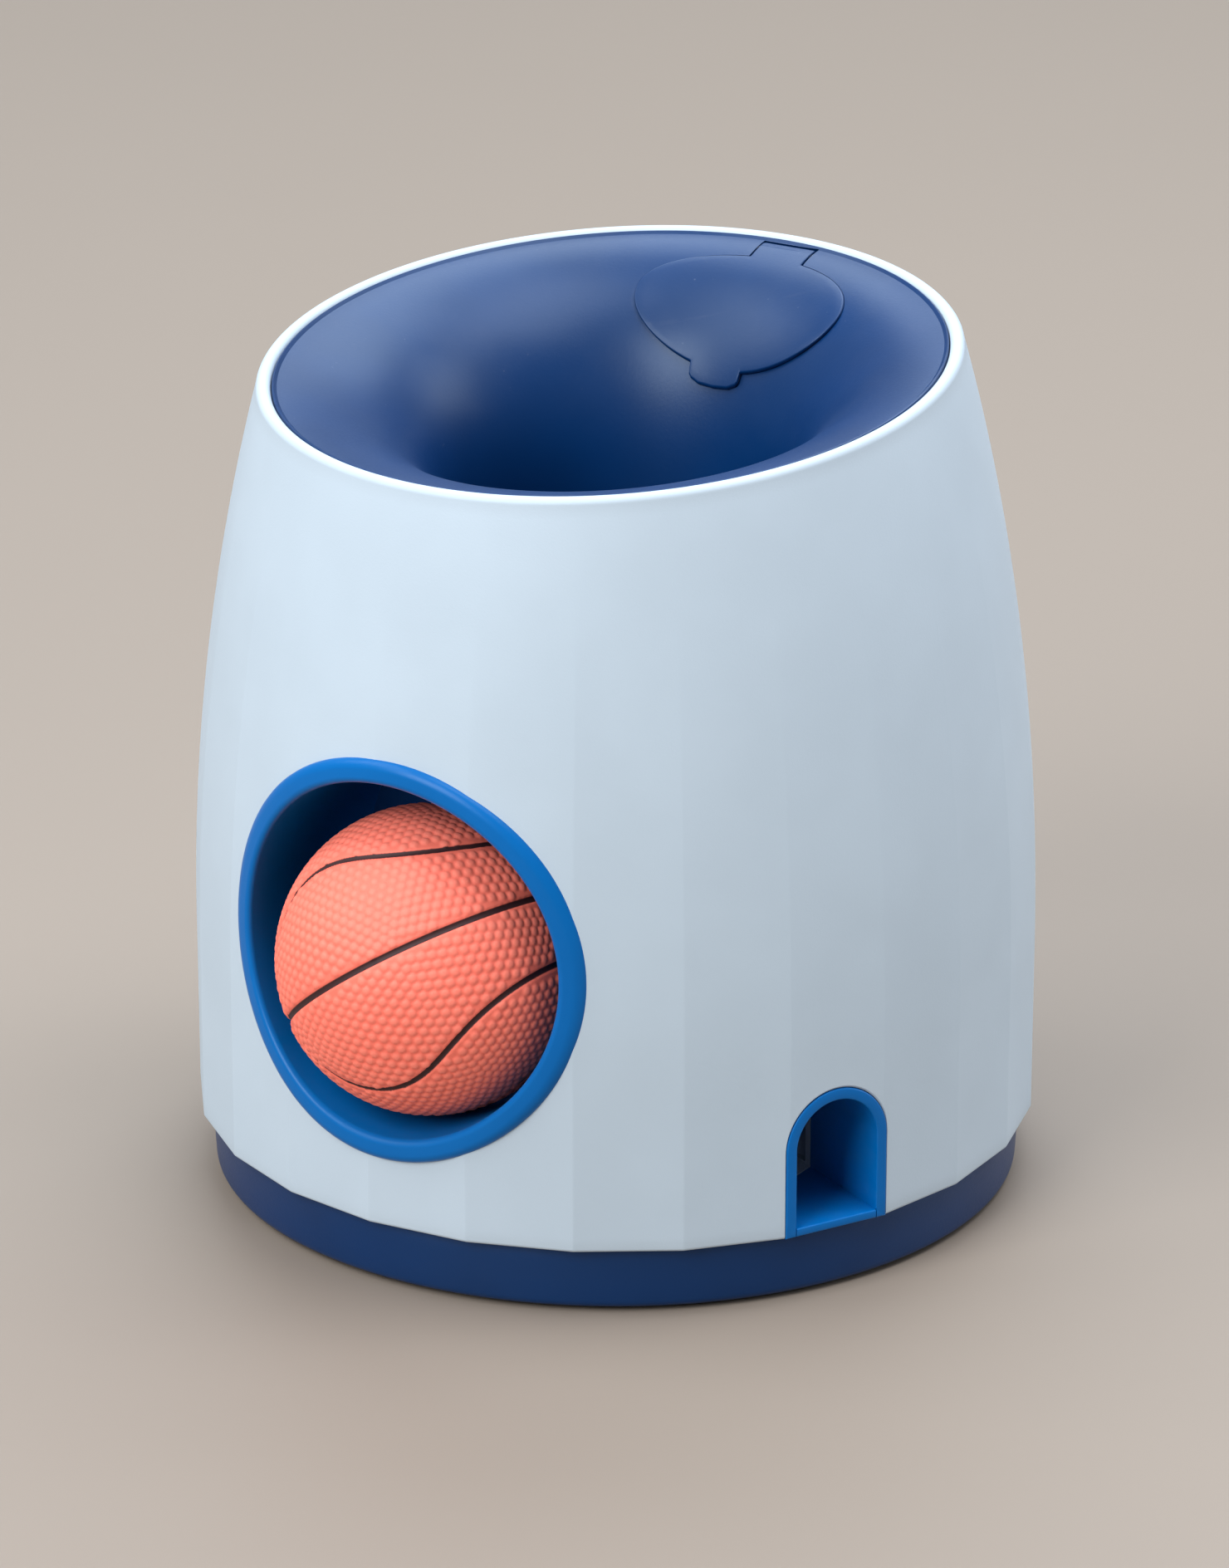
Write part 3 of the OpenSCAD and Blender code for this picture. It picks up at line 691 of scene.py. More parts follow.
@dataclass(frozen=True)
class BallRubber:
    """Matte rubber of the ball with dark seams and painted highlights on its pimples' tops.

    Attributes:
        name: Name of the material.
        colour: Linear colour between the seams.
        top: Linear colour of the painted highlight on the pimples' tops, lighter than the painted shade of
            the hollows between them.
        seam: Linear colour of the seams.
        seam_half: Half the seam's width in millimetres.
        seam_soft: Softness of the seam's edge in millimetres.
        roughness: Roughness of the surface.
        spread: Change of roughness over the grain.
        grain: Cells of the grain in a metre.
        depth: Depth of the grain in millimetres.
        shade: Share of the colour in the darker patches.
        patch: Strength of the darker patches.
        dust: Amount of dust.
        dust_colour: Linear colour of the dust.
        specular: Level of the gloss.
    """

    name: str
    colour: Colour
    top: Colour
    seam: Colour
    seam_half: float = SEAM_HALF
    seam_soft: float = 0.1
    roughness: float = 0.62
    spread: float = 0.12
    grain: float = 2400.0
    depth: float = 0.02
    shade: float = 0.93
    patch: float = 0.35
    dust: float = 0.12
    dust_colour: Colour = (0.7, 0.62, 0.58)
    specular: float = 0.4

    def material(self, effects: Effects) -> bpy.types.Material:
        """Makes the material.

        Args:
            effects: The shared node groups.

        Returns:
            The new material.
        """
        material, tree, shader = new_material(self.name)
        grain = group_node(tree, effects.grain, Scale=self.grain)
        dust = group_node(tree, effects.dust, Amount=self.dust)
        gap = tree.add("ShaderNodeAttribute", attribute_name="seam_gap")
        rise = tree.add("ShaderNodeAttribute", attribute_name="pimple")
        # Painted highlight on the pimples' tops: the colour turns lighter with the pimple's height, which
        # leaves the hollows between them darker as painted shade.
        base = tree.blend(rise.outputs["Fac"], self.colour, self.top)
        shade = tuple(part * self.shade for part in self.colour)
        patch = tree.math("MULTIPLY", grain.outputs["Tone"], self.patch)
        base = tree.blend(patch, base, shade)
        base = tree.blend(dust.outputs["Mask"], base, self.dust_colour)
        line = tree.ramp(gap.outputs["Fac"], self.seam_half + self.seam_soft, self.seam_half - self.seam_soft)
        base = tree.blend(line, base, self.seam)
        tree.join(base, shader.inputs["Base Color"])
        rough = grain_rough(tree, grain, self.roughness, self.spread)
        tree.join(rough, shader.inputs["Roughness"])
        grain_bump(tree, grain, shader, self.depth)
        shader.inputs["Specular IOR Level"].default_value = self.specular
        return material


@dataclass(frozen=True)
class BarrelForm:
    """Outer form that the barrel, bowl, lid and port share.

    Angles are in degrees from the front towards +X.

    Attributes:
        radius: Radius over the facets' corners.
        rim_height: Height of the rim's plane on the axis.
        rim_tilt: Tilt of the rim's plane.
        rim_rounds: Rounds of the search for the rim's radius.
        seam: Height of the barrel's lower edge.
        upright: Height up to which the side is straight.
        curve: Radius of the side's curve above that.
        fade_end: Height where the facets have faded out.
        facet: Width of a facet in degrees.
        outlet: Angle of the facet with the outlet.
        port_z: Height of the ball port's middle.
        wall: Wall of the barrel.
        edge_gap: Gap between the wall and the bowl's edge.
        edge_rise: Rise of the bowl's edge over the start of the rim's rounding.
        throat: Radius of the bowl's throat.
        throat_level: Height where the bowl becomes the throat.
        bowl_start: How slowly the bowl falls at its edge.
        bowl_turn: How sharply it turns into the throat.
    """

    radius: float = 85.0
    rim_height: float = 169.4
    rim_tilt: float = 6.8
    rim_rounds: int = 8
    seam: float = 14.0
    upright: float = 50.0
    curve: float = 455.0
    fade_end: float = 156.0
    facet: float = 14.4
    outlet: float = 62.7
    port_z: float = 68.5
    wall: float = 3.0
    edge_gap: float = 0.15
    edge_rise: float = 0.5
    throat: float = 34.0
    throat_level: float = 128.0
    bowl_start: float = 1.66
    bowl_turn: float = 2.6

    def side_r(self, z: Array) -> Array:
        """Returns the radius of the smooth side at a height."""
        above = np.maximum(0.0, np.asarray(z, dtype=float) - self.upright)
        return self.radius - self.curve + np.sqrt(self.curve ** 2 - above ** 2)

    def fade(self, z: Array) -> Array:
        """Returns the share of the flat facets at a height."""
        return np.clip((self.fade_end - z) / (self.fade_end - self.seam), 0.0, 1.0)

    def facet_r(self, a: Array, z: Array) -> Array:
        """Gives the radius of the faceted side.

        Args:
            a: Angles.
            z: Heights.

        Returns:
            The radii.
        """
        turn = (np.asarray(a) - self.outlet) / self.facet
        off = np.radians((turn - np.round(turn)) * self.facet)
        flat = math.cos(math.radians(self.facet / 2.0)) / np.cos(off)
        return self.side_r(z) * (1.0 - self.fade(z) * (1.0 - flat))

    def lip_z(self, a: Array) -> Array:
        """Gives the height where the rim's rounding begins.

        Args:
            a: Angles.

        Returns:
            The heights.
        """
        fall = np.cos(np.radians(a))
        slope = math.tan(math.radians(self.rim_tilt))
        r = np.full(np.shape(a), float(self.side_r(self.rim_height)))
        for _ in range(self.rim_rounds):
            r = self.side_r(self.rim_height - slope * r * fall)
        return self.rim_height - slope * r * fall - self.wall / 2.0

    def edge_r(self, a: Array) -> Array:
        """Returns the radius of the bowl's edge."""
        return self.side_r(self.lip_z(a)) - self.wall - self.edge_gap

    def edge_z(self, a: Array) -> Array:
        """Returns the height of the bowl's edge."""
        return self.lip_z(a) + self.edge_rise

    def bowl_fall(self, s: Array) -> Array:
        """Returns the share of the bowl's fall at a share of its width."""
        run = np.clip(s, 0.0, 1.0) ** self.bowl_start
        return 1.0 - (1.0 - run) ** (1.0 / self.bowl_turn)

    def bowl_height(self, x: Array, y: Array) -> Array:
        """Gives the height of the bowl's surface.

        Args:
            x: Places along X.
            y: Places along Y.

        Returns:
            The heights.
        """
        a = np.degrees(np.arctan2(x, -y))
        edge = self.edge_r(a)
        s = (edge - np.hypot(x, y)) / (edge - self.throat)
        top = self.edge_z(a)
        return top - (top - self.throat_level) * self.bowl_fall(s)

    @staticmethod
    def at(a: Array, r: Array, z: Array) -> Array:
        """Gives points by their angle, radius and height.

        Args:
            a: Angles.
            r: Radii.
            z: Heights.

        Returns:
            The points.
        """
        t = np.radians(a)
        parts = r * np.sin(t), -r * np.cos(t), np.asarray(z, dtype=float)
        return np.stack(np.broadcast_arrays(*parts), axis=-1)

    def columns(self) -> Array:
        """Gives the angles of the mesh columns, bunched at the facets' corners.

        Returns:
            The angles.
        """
        side = np.array([0.24, 0.48, 0.72, 0.89, 0.975])
        off = np.concatenate([[-1.0], -side[::-1], [0.0], side]) * self.facet / 2.0
        middles = self.outlet + self.facet * np.arange(round(360.0 / self.facet))
        return (middles[:, None] + off[None, :]).ravel()


@dataclass
class ArchSection:
    """Upright arch on the outlet's facet, drawn in the facet's own plane.

    Attributes:
        form: Form of the barrel.
        leg_steps: Points along a leg.
        head_steps: Points round the head.
        foot_steps: Points along the foot with both corners.
    """

    form: BarrelForm
    leg_steps: int = 6
    head_steps: int = 48
    foot_steps: int = 8

    def outline(self, half: float, low: float, top: float) -> Array:
        """Draws the outline, starting low on the right.

        Args:
            half: Half the width.
            low: Height of its foot.
            top: Height of its head.

        Returns:
            Sideways place and height of each point.
        """
        spring = top - half
        leg = np.linspace(low, spring, self.leg_steps, endpoint=False)
        turn = np.linspace(0.0, math.pi, self.head_steps)
        right = np.stack([np.full_like(leg, half), leg], axis=1)
        head = np.stack([half * np.cos(turn), spring + half * np.sin(turn)], axis=1)
        left = np.stack([np.full_like(leg, -half), leg[::-1]], axis=1)
        foot = np.linspace(-half, half, self.foot_steps)[1:-1]
        return np.concatenate([right, head, left, np.stack([foot, np.full_like(foot, low)], axis=1)])

    def ring(self, outline: Array, depth: Array) -> Array:
        """Places an outline in the toy.

        Args:
            outline: Sideways place and height of each point.
            depth: Distances from the barrel's axis.

        Returns:
            The points.
        """
        t = math.radians(self.form.outlet)
        out, side = np.array([math.sin(t), -math.cos(t)]), np.array([math.cos(t), math.sin(t)])
        reach = np.broadcast_to(depth, outline.shape[:1])
        flat = reach[:, None] * out + outline[:, :1] * side
        return np.column_stack([flat, outline[:, 1]])

    def prism(self, name: str, half: float, low: float, top: float, reach: tuple[float, float],
              flare: float = 0.0) -> bpy.types.Object:
        """Makes an arch-shaped cutting tool that points away from the axis.

        Args:
            name: Name of the tool.
            half: Half the width.
            low: Height of its foot.
            top: Height of its head.
            reach: Distances of its two ends from the axis.
            flare: Growth of the outer end at every side.

        Returns:
            The new object.
        """
        line = self.outline(half, low, top)
        wide = self.outline(half + flare, low - flare, top + flare)
        return span(name, self.ring(line, reach[0]), self.ring(wide, reach[1]))


@dataclass
class Barrel:
    """Faceted barrel with its rounded rim.

    Attributes:
        form: Form of the barrel.
        edge: Rounding of the lower edge.
        rows: Rows of the mesh up the side.
        in_rows: Rows of the mesh down the inside.
        seat: Depth of the bowl's seat under the rim.
        shelf: Width of the seat's shelf.
        shelf_t: Thickness of the shelf's edge.
        shelf_foot: Depth of the shelf's foot under the seat.
        shelf_side: Depth under the seat where the foot takes its radius.
        port_hole: Radius of the port's hole.
        port_reach: Ends of the port's cut along Y.
        port_steps: Points round the port's hole.
        arch_half: Half width of the outlet's hole.
        arch_low: Foot of the outlet's cut.
        arch_top: Top of the outlet's hole.
        arch_reach: Ends of the outlet's cut from the axis.
        bevel: Width of the bevel's cut round the outlet.
        bevel_in: Inset where that cut starts.
        bevel_reach: Ends of that cut from the axis.
    """

    form: BarrelForm
    edge: float = 0.7
    rows: int = 64
    in_rows: int = 14
    seat: float = 3.5
    shelf: float = 2.6
    shelf_t: float = 1.2
    shelf_foot: float = 4.4
    shelf_side: float = 4.0
    port_hole: float = 38.1
    port_reach: tuple[float, float] = (-110.0, -30.0)
    port_steps: int = 192
    arch_half: float = 11.54
    arch_low: float = 5.0
    arch_top: float = 43.34
    arch_reach: tuple[float, float] = (66.0, 110.0)
    bevel: float = 2.0
    bevel_in: float = 0.1
    bevel_reach: tuple[float, float] = (83.95, 85.95)

    def column(self, a: float) -> Array:
        """Draws one closed column: lower edge, side, rim, bowl seat and inside.

        Args:
            a: Angle of the column.

        Returns:
            The points.
        """
        form, low, half = self.form, self.form.seam, self.form.wall / 2.0
        lip = float(form.lip_z(np.array(a)))
        foot = float(form.facet_r(a, low))
        turn = np.radians(np.linspace(0.0, 90.0, 5))
        base_r = foot - self.edge * (1.0 - np.sin(turn))
        base_z = low + self.edge * (1.0 - np.cos(turn))
        side_z = np.linspace(low + self.edge, lip, self.rows)[1:]
        side_r = form.facet_r(a, side_z)
        over = np.radians(np.linspace(0.0, 180.0, 17))[1:]
        rim_r = float(form.side_r(lip)) - half + half * np.cos(over)
        rim_z = lip + half * np.sin(over)
        seat = lip - self.seat
        inner = float(form.side_r(seat)) - form.wall
        shelf_r = [inner, inner - self.shelf, inner - self.shelf,
                   float(form.side_r(seat - self.shelf_side)) - form.wall]
        shelf_z = [seat, seat, seat - self.shelf_t, seat - self.shelf_foot]
        in_z = np.linspace(seat - self.shelf_foot, low, self.in_rows)[1:]
        in_r = form.facet_r(a, in_z) - form.wall
        r = np.concatenate([base_r, side_r, rim_r, shelf_r, in_r])
        z = np.concatenate([base_z, side_z, rim_z, shelf_z, in_z])
        return form.at(np.full_like(r, a), r, z)

    def build(self) -> bpy.types.Object:
        """Makes the barrel with its two openings.

        Returns:
            The barrel.
        """
        columns = np.stack([self.column(a) for a in self.form.columns()])
        piece = make_piece("barrel", columns.reshape(-1, 3), grid_faces(*columns.shape[:2], True, True))
        near, far = ((0.0, y, self.form.port_z) for y in self.port_reach)
        cut(piece, bar("port_hole", self.port_hole, near, far, self.port_steps))
        arch = ArchSection(self.form)
        cut(piece, arch.prism("arch_hole", self.arch_half, self.arch_low, self.arch_top, self.arch_reach))
        cut(piece, arch.prism("arch_edge", self.arch_half - self.bevel_in, self.arch_low,
                              self.arch_top - self.bevel_in, self.bevel_reach, self.bevel))
        return piece

    def dress(self, piece: bpy.types.Object, material: bpy.types.Material) -> None:
        """Gives the barrel its material and its place."""
        show(piece, Body.HOUSING, "shell_plastic", material, "outer_shell")


@dataclass
class ScrewSet:
    """Cross-head screws as one piece.

    Attributes:
        name: Name of the piece.
        node: Node that it replaces.
        length: Length under the head.
        places: Middle of each head's face.
        axis: Direction from the head to the tip.
        head_r: Radius of the head.
        head_h: Height of the head.
        dome: Height of the head's dome.
        soft: Rounding of the head's lower edge.
        thread_r: Radius over the thread.
        core_r: Radius between the threads.
        pitch: Distance from thread to thread.
        flank: Half the width of a thread.
        steps: Points round a screw.
    """

    name: str
    node: str
    length: float
    places: Sequence[Point]
    axis: Point
    head_r: float = 2.8
    head_h: float = 2.0
    dome: float = 1.1
    soft: float = 0.2
    thread_r: float = 1.4
    core_r: float = 1.15
    pitch: float = 0.8
    flank: float = 0.25
    steps: int = 40

    def profile(self) -> Line:
        """Draws the screw's profile: domed head, thread and tip.

        Returns:
            Radius and height of each point.
        """
        line = [(0.0, 0.0)]
        for k in range(1, 8):
            turn = math.radians(90.0 * k / 7)
            line.append((self.head_r * math.sin(turn) ** 0.8, self.dome * (1.0 - math.cos(turn))))
        line += [(self.head_r, self.head_h - self.soft), (self.head_r - self.soft, self.head_h),
                 (self.core_r, self.head_h)]
        end = self.head_h + self.length
        z = self.head_h + self.pitch
        while z < end - 2.0 * self.pitch:
            line += [(self.core_r, z - self.flank), (self.thread_r, z), (self.core_r, z + self.flank)]
            z += self.pitch
        return line + [(1.1, end - 1.0), (0.4, end), (0.0, end)]

    def build(self) -> bpy.types.Object:
        """Makes one screw, cuts its cross and sets copies of it in place.

        Returns:
            The screws.
        """
        pattern = make_piece(self.name + "_pattern", *lathe(self.profile(), self.steps))
        for turn in (0.0, 90.0):
            cut(pattern, self.blade(turn))
        mesh = pattern.data
        one = np.array([corner.co[:] for corner in mesh.vertices]) / MM
        skin = [tuple(face.vertices) for face in mesh.polygons]
        bpy.data.objects.remove(pattern)
        bpy.data.meshes.remove(mesh)
        turn = np.asarray(Vector(self.axis).to_track_quat("Z", "Y").to_matrix())
        points = np.concatenate([one @ turn.T + np.asarray(place) for place in self.places])
        starts = range(0, len(points), len(one))
        faces = [tuple(k + start for k in face) for start in starts for face in skin]
        piece = make_piece(self.name, points, faces)
        settle(piece)
        return piece

    @staticmethod
    def blade(turn: float) -> bpy.types.Object:
        """Makes the tool for one tapered slot of the cross.

        Args:
            turn: Angle of the slot in degrees.

        Returns:
            The new object.
        """
        t = math.radians(turn)
        along = np.array([math.cos(t), math.sin(t), 0.0])
        over = np.array([-math.sin(t), math.cos(t), 0.0])
        corners = np.array([(-1, -1), (1, -1), (1, 1), (-1, 1)])
        ends = []
        for z, half, thick in ((-1.0, 1.7, 0.42), (1.3, 0.6, 0.3)):
            ends.append(corners @ np.array([half * along, thick * over]) + np.array([0.0, 0.0, z]))
        return span("cross", *ends)

    def dress(self, piece: bpy.types.Object, material: bpy.types.Material) -> None:
        """Gives the screws their material and their place."""
        show(piece, Body.HOUSING, "steel", material, self.node)


@dataclass
class BaseUnit:
    """Navy base pan, the rubber sole and the base screws.

    Attributes:
        form: Form of the barrel.
        top_r: Radius of the pan under the barrel.
        foot_r: Radius of the pan near the floor.
        spigot_r: Radius of the spigot inside the barrel.
        lap: Height of the spigot over the pan's upper edge.
        wall: Wall of the pan.
        floor_t: Thickness of the pan's floor.
        sole_r: Radius of the sole.
        sole_t: Thickness of the sole.
        sole_gap: Gap round the sole.
        grooves: Radii of the sole's ring grooves.
        post_at: Distance of the screws from the axis.
        post_angles: Angles of the screws.
        well_r: Radius of a screw's well.
        well_top: Height of the well's end.
        head_z: Height of the screws' heads.
        screw: Length of the screws under the head.
        notch_half: Half width of the outlet's notch in the spigot.
        notch_drop: Depth of the notch's foot under the pan's upper edge.
        notch_top: Height of the notch's tool.
        notch_reach: Ends of the notch's cut from the axis.
        steps: Points round the pan.
        well_steps: Points round a well.
        sole_steps: Points round the sole.
    """

    form: BarrelForm
    top_r: float = 82.2
    foot_r: float = 81.6
    spigot_r: float = 81.23
    lap: float = 3.5
    wall: float = 2.0
    floor_t: float = 3.0
    sole_r: float = 72.93
    sole_t: float = 2.0
    sole_gap: float = 0.6
    grooves: tuple[float, ...] = (16.0, 28.0, 40.0, 52.0, 64.0)
    post_at: float = 76.13
    post_angles: tuple[float, ...] = (25.0, 115.0, 205.0, 295.0)
    well_r: float = 3.3
    well_top: float = 4.2
    head_z: float = 2.2
    screw: float = 21.8
    notch_half: float = 11.1
    notch_drop: float = 0.2
    notch_top: float = 60.0
    notch_reach: tuple[float, float] = (60.0, 100.0)
    steps: int = 288
    well_steps: int = 48
    sole_steps: int = 192

    def post(self, a: float, z: float) -> Point:
        """Returns a point at a height on the axis of the screw at an angle."""
        return tuple(self.form.at(np.array(a), np.array(self.post_at), np.array(z)).tolist())

    def pan(self) -> bpy.types.Object:
        """Makes the pan with its screw wells.

        Returns:
            The pan.
        """
        foot, top, seam, spigot = self.foot_r, self.top_r, self.form.seam, self.spigot_r
        floor, inside, end = self.sole_t + self.floor_t, spigot - self.wall, seam + self.lap
        recess = self.sole_r + self.sole_gap
        profile = [(0.0, self.sole_t), (recess, self.sole_t), (recess, 1.0), (recess + 0.2, 0.8),
                   (foot - 1.6, 0.8), (foot - 1.0, 0.9), (foot - 0.4, 1.3), (foot - 0.1, 1.8), (foot, 2.4)]
        profile += [(foot + (top - foot) * k / 4.0, 2.4 + (seam - 3.0) * k / 4.0) for k in range(1, 5)]
        profile += [(top - 0.15, seam - 0.25), (top - 0.5, seam - 0.05), (spigot, seam - 0.05),
                    (spigot, end - 0.3), (spigot - 0.3, end), (inside, end), (inside, floor + 1.0),
                    (inside - 1.0, floor), (0.0, floor)]
        piece = make_piece("base_pan_form", *lathe(profile, self.steps))
        for a in self.post_angles:
            low, high = self.post(a, -1.0), self.post(a, self.well_top)
            cut(piece, bar("well", self.well_r, low, high, self.well_steps))
        arch = ArchSection(self.form)
        cut(piece, arch.prism("spout_notch", self.notch_half, seam - self.notch_drop, self.notch_top,
                              self.notch_reach))
        return piece

    def sole(self) -> bpy.types.Object:
        """Makes the sole with ring grooves in its underside.

        Returns:
            The sole.
        """
        profile = [(0.0, 0.0)]
        for r in self.grooves:
            profile += [(r - 0.8, 0.0), (r - 0.5, 0.5), (r + 0.5, 0.5), (r + 0.8, 0.0)]
        profile += [(self.sole_r - 0.5, 0.0), (self.sole_r - 0.15, 0.15), (self.sole_r, 0.5),
                    (self.sole_r, self.sole_t - 0.1), (self.sole_r - 0.1, self.sole_t), (0.0, self.sole_t)]
        piece = make_piece("sole_form", *lathe(profile, self.sole_steps))
        settle(piece)
        return piece

    def screws(self) -> ScrewSet:
        """Returns the base screws."""
        places = [self.post(a, self.head_z) for a in self.post_angles]
        return ScrewSet("base_screw_set", "base_screws", self.screw, places, (0.0, 0.0, 1.0))

    def dress(self, pan: bpy.types.Object, sole: bpy.types.Object, navy: bpy.types.Material,
              rubber: bpy.types.Material) -> None:
        """Gives the pan and the sole their materials and places."""
        show(pan, Body.HOUSING, "navy_plastic", navy, "base_pan")
        show(sole, Body.HOUSING, "sole_rubber", rubber, "grip_sole")


@dataclass
class LidPlane:
    """Plane that the lid and its opening are drawn in, laid on the bowl's surface.

    Attributes:
        form: Form of the barrel.
        middle_x: Place of the lid's middle beside the axis.
        middle_y: Place of the lid's middle behind the axis.
        slope: Slope of the plane in degrees.
        pin: Middle of the hinge pin.
        far: Farthest that the bowl lies from the plane.
        rounds: Rounds of the search for the bowl.
    """

    form: BarrelForm
    middle_x: float = 1.7
    middle_y: float = 45.794
    slope: float = 45.0
    pin: Point = (2.6, 61.0943, 174.759)
    far: float = 25.0
    rounds: int = 40

    def axes(self) -> tuple[Array, Array, Array]:
        """Gives the plane's own axes.

        Returns:
            The middle on the bowl, the uphill direction and the normal.
        """
        t = math.radians(self.slope)
        z = float(self.form.bowl_height(np.array(0.0), np.array(self.middle_y)))
        return (np.array([self.middle_x, self.middle_y, z]), np.array([0.0, math.cos(t), math.sin(t)]),
                np.array([0.0, -math.sin(t), math.cos(t)]))

    def flat(self, u: Array, v: Array) -> Array:
        """Gives points of the plane itself.

        Args:
            u: Places across.
            v: Places uphill.

        Returns:
            The points.
        """
        middle, uphill, _ = self.axes()
        return middle + np.stack([u, np.zeros_like(u), np.zeros_like(u)], axis=-1) + v[..., None] * uphill

    def drape(self, u: Array, v: Array, lift: Array) -> Array:
        """Gives points of the plane laid on the bowl and lifted off it.

        Args:
            u: Places across.
            v: Places uphill.
            lift: Distance from the bowl along the normal.

        Returns:
            The points.
        """
        normal = self.axes()[2]
        flat = self.flat(u, v)
        low, high = np.full(u.shape, -self.far), np.full(u.shape, self.far)
        for _ in range(self.rounds):
            half = (low + high) / 2.0
            spot = flat + half[..., None] * normal
            under = spot[..., 2] < self.form.bowl_height(spot[..., 0], spot[..., 1])
            low, high = np.where(under, half, low), np.where(under, high, half)
        return flat + (high + lift)[..., None] * normal


@dataclass
class FeedBowl:
    """Bell-mouthed bowl with its throat and the fill opening.

    Attributes:
        form: Form of the barrel.
        plane: Plane of the fill opening.
        throat_len: Length of the throat.
        skin: Wall of the throat.
        skirt: Depth of the edge's skirt under the start of the rim's rounding.
        under_in: Inset of the underside from the edge.
        under_drop: Depth of the underside and of the throat's first row under the bend.
        bunch: How closely the rows are bunched at the throat.
        soft: Rounding of the edges.
        upturn: Height by which the very edge turns up.
        columns: Columns of the mesh.
        top_rows: Rows of the mesh over the surface.
        low_rows: Rows of the mesh over the underside.
        first_share: Share of the width up to which rows are left out at the edge.
        hole_across: Half width of the fill opening.
        hole_along: Half height of the fill opening.
        hole_steps: Points round the fill opening.
        hole_reach: Ends of the opening's cut along the normal.
        neck: Depth of the neck under the opening.
        neck_top: Depth where the neck starts.
        neck_wall: Wall of the neck.
        neck_steps: Points round the neck.
        pocket_r: Radius of the hinge pocket.
        pocket_half: Half length of the hinge pocket.
        pocket_steps: Points round the hinge pocket.
    """

    form: BarrelForm
    plane: LidPlane
    throat_len: float = 14.0
    skin: float = 2.2
    skirt: float = 3.4
    under_in: float = 3.4
    under_drop: float = 3.0
    bunch: float = 2.2
    soft: float = 0.4
    upturn: float = 0.5
    columns: int = 240
    top_rows: int = 72
    low_rows: int = 22
    first_share: float = 0.012
    hole_across: float = 21.2
    hole_along: float = 11.0
    hole_steps: int = 120
    hole_reach: tuple[float, float] = (-26.0, 20.0)
    neck: float = 5.0
    neck_top: float = 1.2
    neck_wall: float = 1.8
    neck_steps: int = 96
    pocket_r: float = 2.35
    pocket_half: float = 6.45
    pocket_steps: int = 48

    def bunched(self, rows: int) -> Array:
        """Returns shares of the bowl's width, closer together at the throat."""
        return 1.0 - (1.0 - np.linspace(0.0, 1.0, rows)) ** self.bunch

    def column(self, a: float) -> Array:
        """Draws one closed column: edge, surface, throat and underside.

        Args:
            a: Angle of the column.

        Returns:
            The points.
        """
        form, soft, angle = self.form, self.soft, np.array(a)
        edge_r, edge_z = float(form.edge_r(angle)), float(form.edge_z(angle))
        foot_z = float(form.lip_z(angle)) - self.skirt
        s = self.bunched(self.top_rows)
        s = s[s > self.first_share]
        top_r = edge_r - s * (edge_r - form.throat)
        top_z = edge_z - (edge_z - form.throat_level) * form.bowl_fall(s)
        end, out = form.throat_level - self.throat_len, form.throat + self.skin
        throat_z = np.linspace(form.throat_level - self.under_drop, end + soft, 4)
        s_low = self.bunched(self.low_rows)[::-1]
        low_r = edge_r - self.under_in - s_low * (edge_r - self.under_in - out)
        low_z = foot_z - (foot_z - form.throat_level + self.under_drop) * form.bowl_fall(s_low)
        tip_z = edge_z + self.upturn
        r = np.concatenate([[edge_r, edge_r, edge_r - 0.3 * soft, edge_r - soft], top_r,
                            [form.throat] * 4, [form.throat + soft, out - soft, out], low_r])
        z = np.concatenate([[foot_z, tip_z - soft, tip_z - 0.3 * soft, tip_z], top_z,
                            throat_z, [end, end, end + soft], low_z])
        return form.at(np.full_like(r, a), r, z)

    def neck_ring(self) -> bpy.types.Object:
        """Makes the oval neck under the opening.

        Returns:
            The new object.
        """
        t = full_turn(self.neck_steps)
        top, end, wall = -self.neck_top, -self.neck, self.neck_wall
        rings = []
        for grow, lift in ((wall, top), (wall, end), (0.0, end), (0.0, top)):
            rings.append(self.plane.drape((self.hole_across + grow) * np.cos(t),
                                          (self.hole_along + grow) * np.sin(t), np.full(t.shape, lift)))
        return make_piece("neck_ring", np.concatenate(rings), grid_faces(4, len(t), True, True))

    def build(self, recess: bpy.types.Object) -> bpy.types.Object:
        """Makes the bowl with its opening, the hinge pocket and the lid's recess.

        Args:
            recess: Tool that cuts the recess, used up here.

        Returns:
            The bowl.
        """
        angles = np.linspace(0.0, 360.0, self.columns, endpoint=False)
        columns = np.stack([self.column(a) for a in angles])
        piece = make_piece("feed_bowl", columns.reshape(-1, 3), grid_faces(*columns.shape[:2], True, True))
        cut(piece, self.neck_ring(), Cut.JOIN)
        t, normal = full_turn(self.hole_steps), self.plane.axes()[2]
        line = self.plane.flat(self.hole_across * np.cos(t), self.hole_along * np.sin(t))
        cut(piece, span("fill_hole", *(line + reach * normal for reach in self.hole_reach)))
        x, y, z = self.plane.pin
        left, right = ((x + side * self.pocket_half, y, z) for side in (-1.0, 1.0))
        cut(piece, bar("hinge_pocket", self.pocket_r, left, right, self.pocket_steps))
        cut(piece, recess)
        return piece

    def dress(self, piece: bpy.types.Object, material: bpy.types.Material) -> None:
        """Gives the bowl its material and its place."""
        show(piece, Body.HOUSING, "navy_plastic", material, "bowl")


